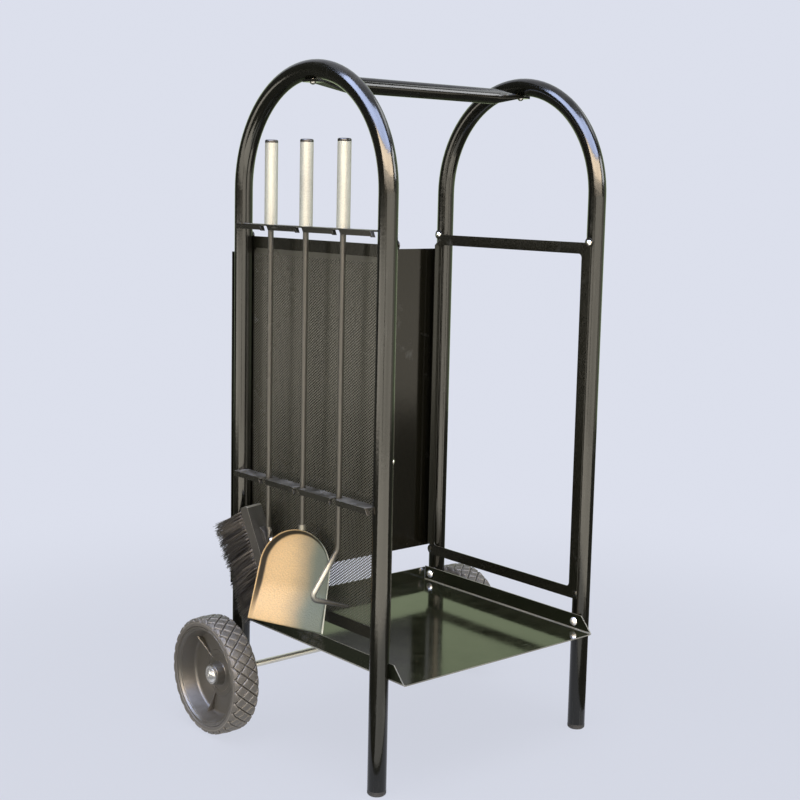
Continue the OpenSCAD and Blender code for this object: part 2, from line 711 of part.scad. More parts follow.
// The poker: a straight rod, a barb that runs out to an elbow, and a point turned back.
module poker_rod() {
  color(black) place() translate([-rod_x, -tool_pitch, 0]) rotate([0, 0, 180 - poker_turn]) {
    rod_path([[0, rod_top], [0, poker_bend_z], [poker_out, poker_elbow_z]], rod_r);
    translate([poker_out, 0, poker_elbow_z]) sphere(rod_r);
    d = [-poker_back - poker_out, poker_tip_z - poker_elbow_z];
    translate([poker_out, 0, poker_elbow_z]) rotate([0, atan2(d[0], d[1]), 0])
      cylinder(h = norm(d), r1 = rod_r - 0.08, r2 = rod_r / 2.2 - 0.08);
    translate([-poker_back, 0, poker_tip_z]) sphere(rod_r / 2.2);
  }
}
module poker_handle() { tool_handle(-tool_pitch); }
module poker_cap() { tool_cap(-tool_pitch); }

// The shovel: a rod with a short socket on the arch of a dished pan.
module at_pan() {
  place() translate([-rod_x, 0, pan_top_z]) rotate([0, 0, pan_turn - 90])
    translate([0, -pan_ahead, 0]) rotate([90 - pan_lean, 0, 0]) rotate([0, 0, -pan_swing])
      children();
}
// Outline of the pan, its arch's top at the origin and its open edge at y = -pan_len.
module pan_outline(inset, extra) {
  a = pan_arch_w / 2;
  intersection() {
    union() {
      translate([0, -a]) circle(a - inset, $fn = 72);
      polygon([[-a + inset, -a], [a - inset, -a],
               [pan_w / 2 - inset, -pan_len - extra], [-pan_w / 2 + inset, -pan_len - extra]]);
    }
    translate([-pan_w, -pan_len - extra]) square([2 * pan_w, pan_len + extra - inset]);
  }
}
// The pan's outer body (inset 0) or its hollow: the rim's outline at z = 0, hulled to a
// smaller floor outline that ends where the floor starts to rise to the open edge.
module pan_shape(inset) {
  rise = pan_len / 4;
  hull() {
    translate([0, 0, -0.05]) linear_extrude(0.05)
      pan_outline(inset, inset > 0 ? -1.06 * pan_t * rise / pan_depth : 0);
    translate([0, 0, -pan_depth + inset]) linear_extrude(0.05) intersection() {
      pan_outline(inset + pan_flare, 0);
      translate([-pan_w, rise - pan_len]) square([2 * pan_w, pan_len]);
    }
  }
}
module shovel_pan() {
  color([0.62, 0.56, 0.45]) at_pan() difference() {
    pan_shape(0);
    translate([0, 0, 0.06]) pan_shape(pan_t);
  }
}
module shovel_rod() {
  color(black) place() translate([-rod_x, 0, 0])
    rod_path([[0, rod_top], [0, pan_top_z + socket_len / 2]], rod_r);
}
module shovel_socket() {
  color(steel) difference() {
    place() translate([-rod_x, 0, pan_top_z - 5]) cylinder(h = socket_len + 5, d = socket_d);
    place() translate([-rod_x, 0, pan_top_z + socket_len / 2])
      cylinder(h = socket_len, r = rod_r + cap_fit);
    at_pan() translate([0, -pan_arch_w / 2, -2 * pan_depth])
      cylinder(h = 3 * pan_depth, r = pan_arch_w / 2 + cap_fit);
    at_pan() translate([-pan_w, -2 * pan_len - 1.5, -2 * pan_depth])
      cube([2 * pan_w, 2 * pan_len, 4 * pan_depth]);
  }
}
module shovel_handle() { tool_handle(0); }
module shovel_cap() { tool_cap(0); }

// The brush: its rod bends along the back of a slanted head, where its flattened end is
// bolted to a raised pad. The head holds rows of bristles.
head_off = rod_r + foot_gap + pad_t + head_t / 2;
module at_brush() {
  place() translate([-rod_x, tool_pitch, 0]) rotate([0, 0, 90 + brush_turn]) children();
}
// The foot's own frame: origin at the bend, +Z up along the foot, +X towards the bristles.
module at_foot() {
  at_brush() translate([0, 0, brush_bend_z]) rotate([0, brush_lean, 0]) children();
}
// The head's own frame: the middle of its thickness and width, level with the bend.
module at_head() { at_foot() translate([head_off, head_side, 0]) children(); }
module brush_rod() {
  flat_z = -0.45 * brush_foot;         // where the flattened end begins
  foot_dir = [-sin(brush_lean), -cos(brush_lean)];
  round_len = 0.2 * brush_foot;
  color(black) union() {
    at_brush() rod_path([[0, rod_top], [0, brush_bend_z],
                         [0, brush_bend_z] + round_len * foot_dir], rod_r);
    at_foot() difference() {
      union() {
        hull() {
          translate([0, 0, -round_len]) cylinder(h = 1, r = rod_r - 0.05, $fn = 32);
          translate([rod_r - foot_t, -foot_w / 2, flat_z]) cube([foot_t, foot_w, 0.02]);
        }
        translate([rod_r - foot_t, 0, 0]) rotate([0, 90, 0]) linear_extrude(foot_t) {
          translate([-flat_z, -foot_w / 2]) square([brush_foot + flat_z - foot_w / 2, foot_w]);
          translate([brush_foot - foot_w / 2, 0]) circle(d = foot_w);
        }
      }
      translate([0, 0, -brush_bolt_at]) rotate([0, 90, 0])
        cylinder(h = 4 * rod_r, r = brush_shank + cap_fit, center = true);
    }
  }
}
brush_shank = 2;
module brush_handle() { tool_handle(tool_pitch); }
module brush_cap() { tool_cap(tool_pitch); }
module brush_head() {
  color([0.23, 0.20, 0.16]) difference() {
    union() {
      at_head() rotate([90, 0, 0]) translate([0, 0, -head_w / 2]) linear_extrude(head_w)
        soft_rect(-head_t / 2, -head_down, head_t / 2, head_up, 2.5);
      at_foot() rotate([90, 0, 0]) translate([0, 0, -0.7 * foot_w]) linear_extrude(1.4 * foot_w)
        polygon([[rod_r + foot_gap, -brush_foot - 3], [rod_r + foot_gap, -rod_r],
                 [rod_r + foot_gap + pad_t + 1, pad_t], [rod_r + foot_gap + pad_t + 1,
                 -brush_foot - pad_t - 4]]);
    }
    at_foot() translate([0, 0, -brush_bolt_at]) rotate([0, 90, 0])
      cylinder(h = rod_r + foot_gap + pad_t + 0.7 * head_t, r = brush_shank + cap_fit);
  }
}
module brush_bolt() {
  color([0.93, 0.93, 0.91]) at_foot()
    translate([rod_r - foot_t, 0, -brush_bolt_at]) rotate([0, -90, 0])
      screw(8, 3.2, 2 * brush_shank + 2 * cap_fit, foot_t + foot_gap + pad_t + 0.6 * head_t);
}
// One three-sided bristle as six points: its foot is sunk in the slice, its tip is
// narrower, and it leans down more towards the lower end of the head.
function bristle(i, j) =
  let (u = (i + 0.5 * (j % 2) + 0.25) / bristle_rows,
       v = (j + 0.5) / bristle_cols - 0.5,
       z = -head_down + 4 + u * (head_up + head_down - 12),
       n = bristle_len * (1 - 0.05 * pow(sin(97 * i + 61 * j), 2) + 0.035 * sin(900 * u)),
       k = n / bristle_len,
       tip = [n, bristle_fan * v * k, (-21 + 13 * u) * k],
       r = bristle_d / 2)
  [for (e = [0:1]) for (a = [0, 120, 240])
    [slice_t - 0.6, v * (head_w - 3), z] + e * tip
    + r * (1 - 0.45 * e) * [0, cos(a), sin(a)]];
module brush_bristles() {
  strands = [for (i = [0:bristle_rows - 1]) for (j = [0:bristle_cols - 1]) bristle(i, j)];
  pts = [for (s = strands) each s];
  faces = [for (k = [0:len(strands) - 1]) let (b = 6 * k)
    each [[b, b + 1, b + 2], [b + 5, b + 4, b + 3], [b, b + 3, b + 4], [b, b + 4, b + 1],
          [b + 1, b + 4, b + 5], [b + 1, b + 5, b + 2], [b + 2, b + 5, b + 3],
          [b + 2, b + 3, b]]];
  color([0.12, 0.11, 0.11]) at_head() translate([head_t / 2, 0, 0]) union() {
    translate([0, -head_w / 2 + 0.5, -head_down + 2])
      cube([slice_t, head_w - 1, head_up + head_down - 4]);
    polyhedron(pts, faces);
  }
}

left_hoop();
right_hoop();
foot_caps();
rear_leg_caps();
handle_bar();
handle_bolts();
left_side_frame();
left_mesh_panel();
right_side_frame();
frame_screws();
frame_low_screws();
back_panel();
panel_screws();
log_tray();
tray_bolts();
upper_tool_rack();
lower_tool_rack();
leg_rivets();
axle();
axle_washers();
axle_caps();
left_wheel_hub();
left_tyre();
right_wheel_hub();
right_tyre();
poker_rod();
poker_handle();
poker_cap();
shovel_rod();
shovel_handle();
shovel_cap();
shovel_pan();
shovel_socket();
brush_rod();
brush_handle();
brush_cap();
brush_head();
brush_bristles();
brush_bolt();
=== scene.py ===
import math

import bmesh
import bpy
import numpy as np
from mathutils import Matrix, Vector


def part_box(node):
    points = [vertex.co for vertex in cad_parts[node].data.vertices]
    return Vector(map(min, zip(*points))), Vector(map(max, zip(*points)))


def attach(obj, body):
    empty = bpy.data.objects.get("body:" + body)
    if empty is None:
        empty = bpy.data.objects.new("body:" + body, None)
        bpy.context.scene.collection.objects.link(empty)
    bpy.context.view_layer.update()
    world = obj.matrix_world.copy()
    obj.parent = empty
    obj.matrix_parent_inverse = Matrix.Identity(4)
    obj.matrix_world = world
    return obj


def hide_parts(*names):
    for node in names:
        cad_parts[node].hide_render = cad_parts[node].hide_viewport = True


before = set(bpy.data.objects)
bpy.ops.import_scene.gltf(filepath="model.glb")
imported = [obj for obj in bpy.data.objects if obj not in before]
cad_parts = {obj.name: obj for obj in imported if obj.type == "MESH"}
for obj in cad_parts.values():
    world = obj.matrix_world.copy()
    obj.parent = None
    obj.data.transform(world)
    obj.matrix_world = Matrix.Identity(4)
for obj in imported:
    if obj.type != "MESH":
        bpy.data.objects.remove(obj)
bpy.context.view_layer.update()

# -------------------------------------------------------------------
# The floor, the light and the camera. The cart stands on a plain pale floor that fades
# into an equally pale surround. Warm panels stand low beside the camera and a soft one
# hangs above. Glowing bands and a dark wall show in the gloss of the black coats alone.
# -------------------------------------------------------------------
scene = bpy.context.scene
scene.view_settings.view_transform = "Standard"
PALE = (0.715, 0.742, 0.838, 1.0)


def node(tree, kind, sockets=None, **settings):
    """A shader node with its settings, its inputs set to values or joined to sockets."""
    made = tree.nodes.new(kind)
    for name, value in settings.items():
        setattr(made, name, value)
    for name, value in (sockets or {}).items():
        if isinstance(value, bpy.types.NodeSocket):
            tree.links.new(value, made.inputs[name])
        else:
            made.inputs[name].default_value = value
    return made


def reckoned(tree, operation, *values, **settings):
    """The result of a Math node on two or three numbers or sockets."""
    return node(tree, "ShaderNodeMath", dict(enumerate(values)), operation=operation,
                **settings).outputs[0]


def ranged(tree, value, low, high, to_low=0.0, to_high=1.0, kind="LINEAR"):
    """A number taken from low..high to to_low..to_high and held within it."""
    return node(tree, "ShaderNodeMapRange",
                {"Value": value, "From Min": low, "From Max": high, "To Min": to_low,
                 "To Max": to_high}, interpolation_type=kind).outputs["Result"]


def mixed(tree, factor, a, b):
    """The colour between a and b, each a colour or a socket."""
    return node(tree, "ShaderNodeMix", {0: factor, 6: a, 7: b}, data_type="RGBA").outputs[2]


def clouds(tree, places, scale, detail, roughness=0.5):
    """Soft noise round 0.5, finer with a larger scale; places are None for the mesh's own."""
    sockets = {"Scale": scale, "Detail": detail, "Roughness": roughness}
    if places is not None:
        sockets["Vector"] = places
    return node(tree, "ShaderNodeTexNoise", sockets).outputs["Fac"]


def own_places(tree):
    """Object coordinates: metres from the origin of the cart."""
    return node(tree, "ShaderNodeTexCoord").outputs["Object"]


def seen_directly(tree):
    """1 where a ray comes from the camera, a mirror-like surface or clear glass."""
    path = node(tree, "ShaderNodeLightPath").outputs
    gloss = reckoned(tree, "MAXIMUM", path["Is Camera Ray"], path["Is Glossy Ray"])
    return reckoned(tree, "MAXIMUM", gloss, path["Is Transmission Ray"])


def bare_material(name):
    """A new material without any nodes; gives the material and its tree."""
    made = bpy.data.materials.new(name)
    made.use_nodes = True
    made.node_tree.nodes.clear()
    return made, made.node_tree


def stood(name, data):
    """A new object in the scene for a mesh, a lamp or a camera."""
    made = bpy.data.objects.new(name, data)
    scene.collection.objects.link(made)
    return made


def aimed(thing, side, up, back, at):
    """Puts a lamp or camera at a point with its own X, Y and Z along side, up and back."""
    thing.matrix_world = Matrix([(*axes, here) for axes, here
                                 in zip(np.stack([side, up, back], 1), at)] + [(0, 0, 0, 1)])


surround = bpy.data.worlds.new("pale_surround")
surround.use_nodes = True
sky = surround.node_tree
sky.nodes.clear()
shown = node(sky, "ShaderNodeBackground", {"Color": PALE, "Strength": 1.0})
lit = node(sky, "ShaderNodeBackground", {"Color": (0.88, 0.89, 0.92, 1), "Strength": 0.30})
sky_mix = node(sky, "ShaderNodeMixShader", {0: seen_directly(sky), 1: lit.outputs[0],
                                            2: shown.outputs[0]})
node(sky, "ShaderNodeOutputWorld", {"Surface": sky_mix.outputs[0]})
scene.world = surround

# the floor is a disc of rings round the cart; it turns from matt to glowing pale with
# the distance from the middle
FADE_FROM, FADE_TO, GLOW_AT_CART = 0.35, 1.35, 0.82
ring = np.array([0.0, 1.1, 2.2, 4.0, 8.0, 16.0, 40.0])
turns = np.linspace(0, 2 * np.pi, 49)[:-1]
floor_points = np.stack([np.outer(ring, np.cos(turns)), np.outer(ring, np.sin(turns)),
                         np.zeros((len(ring), len(turns)))], 2).reshape(-1, 3)
row, col = np.meshgrid(np.arange(len(ring) - 1), np.arange(len(turns)), indexing="ij")
near, step = row * len(turns), (col + 1) % len(turns)
floor_faces = np.stack([near + col, near + len(turns) + col, near + len(turns) + step,
                        near + step], 2).reshape(-1, 4)
floor_mesh = bpy.data.meshes.new("studio_floor")
floor_mesh.from_pydata(floor_points.tolist(), [], floor_faces.tolist())
floor = stood("studio_floor", floor_mesh)
floor_paint, ground = bare_material("pale_floor")
place = own_places(ground)
away = node(ground, "ShaderNodeVectorMath", {0: place}, operation="LENGTH").outputs["Value"]
tone = mixed(ground, clouds(ground, place, 2.2, 3.0), (0.80, 0.84, 0.97, 1),
             (0.83, 0.865, 0.98, 1))
matte = node(ground, "ShaderNodeBsdfDiffuse", {"Color": tone})
glow = node(ground, "ShaderNodeEmission", {"Color": PALE, "Strength": 1.0})
ground_mix = node(ground, "ShaderNodeMixShader",
                  {0: ranged(ground, away, FADE_FROM, FADE_TO, GLOW_AT_CART,
                             kind="SMOOTHERSTEP"),
                   1: matte.outputs[0], 2: glow.outputs[0]})
node(ground, "ShaderNodeOutputMaterial", {"Surface": ground_mix.outputs[0]})
floor_mesh.materials.append(floor_paint)


def gloss_card(name, inner, outer, start, end, level, colour):
    """A glowing band round the cart that shows in the gloss of its surfaces alone: two
    arcs, each a (radius, height), from one bearing to another, joined by faces. Bearings
    are in degrees from +X towards +Y, and level is the band's brightness."""
    a = np.radians(np.linspace(start, end, 60))
    arcs = [np.stack([r * np.cos(a), r * np.sin(a), z + 0 * a], 1) for r, z in (inner, outer)]
    k = np.arange(len(a) - 1)
    faces = np.stack([k, k + 1, k + 1 + len(a), k + len(a)], 1)
    mesh = bpy.data.meshes.new(name)
    mesh.from_pydata(np.concatenate(arcs).tolist(), [], faces.tolist())
    paint, tree = bare_material(name + "_glow")
    tint = mixed(tree, clouds(tree, None, 1.3, 3.0), (*(0.45 * c for c in colour), 1),
                 (*colour, 1))
    glow = node(tree, "ShaderNodeEmission", {"Color": tint, "Strength": level})
    node(tree, "ShaderNodeOutputMaterial", {"Surface": glow.outputs[0]})
    mesh.materials.append(paint)
    card = stood(name, mesh)
    card.visible_camera = card.visible_diffuse = card.visible_shadow = False


DUSK, LEAF, GOLD = (1.0, 1.0, 0.9), (0.80, 0.95, 0.60), (1.0, 0.93, 0.79)
gloss_card("dark_wall", (4.5, 0.0), (4.5, 6.0), 95, 345, 0.10, DUSK)
gloss_card("dark_ground", (0.30, 0.002), (4.5, 0.002), 95, 360, 0.12, DUSK)
gloss_card("green_card", (2.6, 0.0), (2.6, 1.7), -36, 95, 1.0, LEAF)
gloss_card("green_ground", (0.45, 0.002), (2.6, 0.002), 0, 95, 0.2, LEAF)
gloss_card("blue_card", (2.6, 2.28), (1.0, 3.0), 145, 295, 23.0, (0.58, 0.68, 1.0))
gloss_card("amber_card", (2.6, 1.25), (2.6, 2.20), 186, 285, 26.0, (1.0, 0.80, 0.58))
gloss_card("low_amber_card", (2.6, 0.88), (2.6, 1.24), 186, 285, 9.0, (1.0, 0.86, 0.68))
gloss_card("far_pale_card", (2.6, 1.10), (2.6, 2.00), 297, 333, 12.0, (0.97, 0.98, 1.0))
gloss_card("far_high_card", (2.1, 2.05), (1.7, 2.45), 322, 368, 4.5, (0.95, 0.98, 1.0))
gloss_card("left_low_card", (2.3, 0.01), (2.3, 0.57), 137, 212, 4.8, GOLD)
gloss_card("right_low_card", (2.4, 0.01), (2.4, 0.81), 216, 300, 4.2, GOLD)
gloss_card("far_right_card", (2.4, 0.01), (2.4, 0.71), 300, 324, 1.6, (1.0, 0.92, 0.77))
gloss_card("ground_card", (0.80, 0.004), (2.3, 0.004), 183, 298, 5.2, GOLD)
gloss_card("near_ground_card", (0.32, 0.004), (0.80, 0.004), 214, 278, 2.0, (1.0, 0.98, 0.90))

AIM_Z = 0.42  # the panels face this height on the cart's middle


def panel_lamp(name, turn, distance, width, height, middle, level, colour):
    """A soft panel: turn is its bearing in degrees, middle the height of its centre and
    level the brightness of its face. It lights matt surfaces and doesn't show in gloss."""
    lamp = bpy.data.lights.new(name, "AREA")
    lamp.shape = "RECTANGLE"
    lamp.size, lamp.size_y = width, height
    lamp.energy = level * math.pi * width * height
    lamp.color = colour
    held = stood(name, lamp)
    a = math.radians(turn)
    at = np.array([distance * math.cos(a), distance * math.sin(a), middle])
    back = at - np.array([0, 0, AIM_Z])
    back /= np.linalg.norm(back)
    side = np.cross([0, 0, 1.0], back)
    side /= np.linalg.norm(side)
    aimed(held, side, np.cross(back, side), back, at)
    held.visible_camera = held.visible_glossy = False


panel_lamp("left_low_panel", 169, 2.3, 2.9, 0.55, 0.29, 1.6, (1.0, 0.93, 0.82))
panel_lamp("right_low_panel", 262, 2.4, 3.8, 0.80, 0.41, 1.25, (1.0, 0.94, 0.84))
panel_lamp("far_right_panel", 312, 2.4, 1.0, 0.70, 0.36, 0.9, (1.0, 0.93, 0.82))
panel_lamp("top_panel", 230, 0.7, 1.9, 1.9, 2.55, 1.6, (1.0, 0.98, 0.95))

# the camera, as fitted to the photograph: yaw turns it from +Y towards +X
camera = bpy.data.cameras.new("photo_camera")
camera.sensor_width, camera.sensor_fit = 36.0, "HORIZONTAL"
camera.lens = 63.107
camera.shift_x, camera.shift_y = 0.01719, -0.01687
camera.clip_end = 100.0
CAMERA_AT = (-1.14479, -1.31730, 0.68113)
yaw, pitch, roll = math.radians(40.195), math.radians(-7.976), math.radians(1.160)
look = np.array([math.sin(yaw) * math.cos(pitch), math.cos(yaw) * math.cos(pitch),
                 math.sin(pitch)])
level_right = np.array([math.cos(yaw), -math.sin(yaw), 0.0])
level_up = np.cross(level_right, look)
right = math.cos(roll) * level_right + math.sin(roll) * level_up
upward = -math.sin(roll) * level_right + math.cos(roll) * level_up
viewer = stood("photo_camera", camera)
aimed(viewer, right, upward, -look, CAMERA_AT)
scene.camera = viewer

# -------------------------------------------------------------------
# The two hoops. Each is one steel tube, 22 mm across, bent over the top into two legs and
# powder coated in gloss black after the bending. The coat has a faint orange peel, a
# little dust on what faces up, and fine rubs where wood and hands pass.
# -------------------------------------------------------------------


def effect(name, inputs, outputs):
    """A new shader node group with named sockets; gives the group, its input node's
    outputs and a function that joins a socket to one of its outputs."""
    group = bpy.data.node_groups.new(name, "ShaderNodeTree")
    for label, kind, value in inputs:
        made = group.interface.new_socket(label, in_out="INPUT", socket_type=kind)
        if value is not None:
            made.default_value = value
    for label in outputs:
        group.interface.new_socket(label, in_out="OUTPUT", socket_type="NodeSocketFloat")
    into = group.nodes.new("NodeGroupInput")
    result = group.nodes.new("NodeGroupOutput")

    def give(label, socket):
        group.links.new(socket, result.inputs[label])

    return group, into.outputs, give


# orange peel: two sizes of soft noise added, as a height for a Bump
peel, peel_in, peel_out = effect(
    "orange_peel", [("Vector", "NodeSocketVector", None), ("Size", "NodeSocketFloat", 260.0)],
    ["Height", "Mottle"])
fine = clouds(peel, peel_in["Vector"], peel_in["Size"], 2.0, 0.45)
broad = clouds(peel, peel_in["Vector"], 9.0, 4.0, 0.55)
peel_out("Height", reckoned(peel, "MULTIPLY_ADD", broad, 2.0, fine))
peel_out("Mottle", broad)

# dust: lies on faces that look up, thicker in patches
dust, dust_in, dust_out = effect(
    "settled_dust", [("Vector", "NodeSocketVector", None), ("Amount", "NodeSocketFloat", 0.3)],
    ["Mask"])
facing = node(dust, "ShaderNodeNewGeometry").outputs["Normal"]
upness = node(dust, "ShaderNodeSeparateXYZ", {0: facing}).outputs["Z"]
flat_up = ranged(dust, upness, 0.35, 1.0, kind="SMOOTHSTEP")
thick = ranged(dust, clouds(dust, dust_in["Vector"], 34.0, 6.0, 0.68), 0.38, 0.72)
lying = reckoned(dust, "MULTIPLY", flat_up, thick)
dust_out("Mask", reckoned(dust, "MULTIPLY", lying, dust_in["Amount"]))

# rubs: short scratches from a noise stretched along one direction, in scattered patches
rubs, rubs_in, rubs_out = effect(
    "handling_rubs", [("Vector", "NodeSocketVector", None),
                      ("Stretch", "NodeSocketVector", (900.0, 900.0, 40.0)),
                      ("Amount", "NodeSocketFloat", 0.4)], ["Mask"])
drawn_out = node(rubs, "ShaderNodeVectorMath", {0: rubs_in["Vector"], 1: rubs_in["Stretch"]},
                 operation="MULTIPLY").outputs[0]
lines = ranged(rubs, clouds(rubs, drawn_out, 1.0, 2.0), 0.60, 0.76)
where = ranged(rubs, clouds(rubs, rubs_in["Vector"], 14.0, 3.0), 0.50, 0.72)
rubs_out("Mask", reckoned(rubs, "MULTIPLY", reckoned(rubs, "MULTIPLY", lines, where),
                          rubs_in["Amount"]))


def placed(tree, group, **values):
    """A shared effect placed in a material, fed with Object coordinates."""
    made = tree.nodes.new("ShaderNodeGroup")
    made.node_tree = group
    made.label = group.name
    tree.links.new(own_places(tree), made.inputs["Vector"])
    for name, value in values.items():
        made.inputs[name.title()].default_value = value
    return made.outputs


def between(tree, factor, a, b):
    """a + factor * (b - a) for numbers."""
    return ranged(tree, factor, 0.0, 1.0, a, b)


def finish_material(name, **constants):
    """A new material with a Principled BSDF wired to its output; gives material, tree, BSDF."""
    made, tree = bare_material(name)
    bsdf = tree.nodes.new("ShaderNodeBsdfPrincipled")
    for label, value in constants.items():
        bsdf.inputs[label.replace("_", " ")].default_value = value
    tree.links.new(bsdf.outputs[0], node(tree, "ShaderNodeOutputMaterial").inputs[0])
    return made, tree, bsdf


def wired(tree, bsdf, base, rough, height=None, bump=0.0, deep=0.0006):
    """Joins a colour and a roughness to the BSDF, and a height as a bump."""
    tree.links.new(base, bsdf.inputs["Base Color"])
    tree.links.new(rough, bsdf.inputs["Roughness"])
    if height is not None:
        raised = node(tree, "ShaderNodeBump", {"Strength": bump, "Distance": deep,
                                               "Height": height})
        tree.links.new(raised.outputs[0], bsdf.inputs["Normal"])


EVENLY = (300.0, 300.0, 300.0)  # rubs that run no particular way


def powder_coat(name, colour, warm, gloss, dusty, rubbed, stretch=EVENLY, peel_height=0.055,
                peel_size=260.0, dust_and_sheen_colour=(0.30, 0.285, 0.25, 1), dust_dulls=0.55):
    """Gloss black powder coat: colour drifts to warm in broad patches, roughness near
    gloss, dust and rubs on top, orange peel as bump. What faces up takes
    dust_and_sheen_colour: dust, and on the tray also a painted green reflection."""
    made, tree, bsdf = finish_material(name, IOR=1.5)
    skin = placed(tree, peel, size=peel_size)
    lain = placed(tree, dust, amount=dusty)["Mask"]
    worn = placed(tree, rubs, amount=rubbed, stretch=stretch)["Mask"]
    base = mixed(tree, skin["Mottle"], colour, warm)
    base = mixed(tree, worn, base, (0.17, 0.165, 0.15, 1))
    base = mixed(tree, lain, base, dust_and_sheen_colour)
    rough = between(tree, skin["Mottle"], gloss * 0.75, gloss * 1.3)
    rough = reckoned(tree, "MULTIPLY_ADD", worn, 0.35, rough)
    rough = reckoned(tree, "MULTIPLY_ADD", lain, dust_dulls, rough, use_clamp=True)
    wired(tree, bsdf, base, rough, skin["Height"], peel_height, 0.001)
    return made


def dress(names, finish):
    """Gives CAD nodes a material in place of the frame's plain one."""
    for name in names:
        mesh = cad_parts[name].data
        mesh.materials.clear()
        mesh.materials.append(finish)


tube_coat = powder_coat("hoop_powder_coat", (0.0055, 0.0055, 0.0032, 1),
                        (0.010, 0.0095, 0.0055, 1), gloss=0.14, dusty=0.25, rubbed=0.5,
                        stretch=(900.0, 900.0, 40.0))
dress(["left_hoop", "right_hoop"], tube_coat)

# -------------------------------------------------------------------
# The end caps of the legs. Matt black moulded plastic, pushed into the tube's end; the
# front ones stand on the floor and are greyed at the rim.
# -------------------------------------------------------------------


def height_up(tree):
    """The height of a point over the floor, in metres."""
    return node(tree, "ShaderNodeSeparateXYZ", {0: own_places(tree)}).outputs["Z"]


cap_moulding, tree, bsdf = finish_material("leg_cap_moulding", IOR=1.46)
skin = placed(tree, peel, size=900.0)
SCUFFED_TO = 0.0035
scuffed = ranged(tree, height_up(tree), SCUFFED_TO, 0.0, 0.0, 0.8)
base = mixed(tree, skin["Mottle"], (0.018, 0.018, 0.017, 1), (0.040, 0.038, 0.034, 1))
wired(tree, bsdf, mixed(tree, scuffed, base, (0.12, 0.115, 0.105, 1)),
      between(tree, skin["Mottle"], 0.5, 0.75), skin["Height"], 0.25)
dress(["foot_caps", "rear_leg_caps"], cap_moulding)

# -------------------------------------------------------------------
# The handle bar. A steel tube across the two crowns, its ends pressed flat into tabs that
# lie on the hoops, each held by one plated domed bolt. Same coat, polished by hands.
# -------------------------------------------------------------------
bar_coat = powder_coat("bar_powder_coat", (0.008, 0.0083, 0.006, 1), (0.013, 0.012, 0.008, 1),
                       gloss=0.11, dusty=0.18, rubbed=0.35, stretch=(40.0, 900.0, 900.0))
dress(["handle_bar"], bar_coat)


def plated(name, bright, shade, gloss, grime, stretch=EVENLY, metallic=1.0):
    """Bright plated steel: polish marks along one direction, which also darken the colour in
    streaks as a painted reflection, tarnish in patches and grime in the hollows of a noise."""
    made, tree, bsdf = finish_material(name, Metallic=metallic)
    skin = placed(tree, peel, size=700.0)
    worn = placed(tree, rubs, amount=0.8, stretch=stretch)["Mask"]
    base = mixed(tree, skin["Mottle"], bright, shade)
    patch = ranged(tree, skin["Height"], 1.55, 2.0, 0.0, grime)
    base = mixed(tree, patch, base, (0.20, 0.18, 0.15, 1))
    # painted reflection: the rubs also darken the colour in streaks along the polish
    base = mixed(tree, between(tree, worn, 0.0, 0.6), base, (0.16, 0.15, 0.11, 1))
    rough = between(tree, skin["Mottle"], gloss * 0.7, gloss * 1.4)
    rough = reckoned(tree, "MULTIPLY_ADD", worn, 0.25, rough, use_clamp=True)
    wired(tree, bsdf, base, rough, skin["Height"], 0.05, 0.0005)
    return made


screw_plate = plated("screw_zinc_plate", (0.80, 0.79, 0.75, 1), (0.62, 0.60, 0.56, 1),
                     gloss=0.22, grime=0.5)
dress(["handle_bolts"], screw_plate)

# -------------------------------------------------------------------
# The two side frames. Pressed from 1.5 mm steel sheet with a rounded ear for each screw
# and a folded rear edge, and fixed inside the legs: bright screws above, black ones below.
# -------------------------------------------------------------------
CUT_FACE_W = 0.0018


def softened(name, body, finish, width, edge_finish=None):
    """A copy of a CAD node with its points merged, flat faces joined and every sharp edge
    rounded by width; it replaces the node. The rounded edges take edge_finish where one
    is given, and so do the sheet's cut faces, whose mean width, twice the area over the
    perimeter, is under CUT_FACE_W."""
    sheet = bmesh.new()
    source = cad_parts[name]
    sheet.from_mesh(source.data)
    sheet.transform(source.matrix_world)
    bmesh.ops.remove_doubles(sheet, verts=sheet.verts, dist=2e-6)
    bmesh.ops.dissolve_limit(sheet, angle_limit=math.radians(1.0), verts=sheet.verts,
                             edges=sheet.edges)
    cut = [edge_finish is not None
           and 2 * face.calc_area() / face.calc_perimeter() < CUT_FACE_W
           for face in sheet.faces]
    mesh = bpy.data.meshes.new(name + "_sheet")
    sheet.to_mesh(mesh)
    sheet.free()
    mesh.materials.clear()
    mesh.materials.append(finish)
    if edge_finish:
        mesh.materials.append(edge_finish)
    mesh.polygons.foreach_set("material_index", np.array(cut, dtype=np.int32))
    made = stood(name + "_sheet", mesh)
    edges = made.modifiers.new("rolled_edges", "BEVEL")
    edges.width, edges.segments, edges.limit_method = width, 2, "ANGLE"
    edges.angle_limit = math.radians(40)
    edges.material = 1 if edge_finish else -1
    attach(made, body)
    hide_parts(name)


sheet_coat = powder_coat("frame_powder_coat", (0.015, 0.0148, 0.009, 1),
                         (0.024, 0.022, 0.014, 1), gloss=0.20, dusty=0.35, rubbed=0.4,
                         stretch=(700.0, 60.0, 60.0), peel_height=0.08, peel_size=380.0)
softened("left_side_frame", "cart", sheet_coat, 0.0005)
softened("right_side_frame", "cart", sheet_coat, 0.0005)
dress(["frame_low_screws"], sheet_coat)
dress(["frame_screws"], screw_plate)

# -------------------------------------------------------------------
# The mesh of the left side. Black expanded steel, slit and stretched from one thin sheet:
# each strand zigzags from front to back and meets its neighbours at every corner, which
# leaves diamonds 4.9 mm long and 3.4 mm high. Its edges sit inside the frame.
# -------------------------------------------------------------------


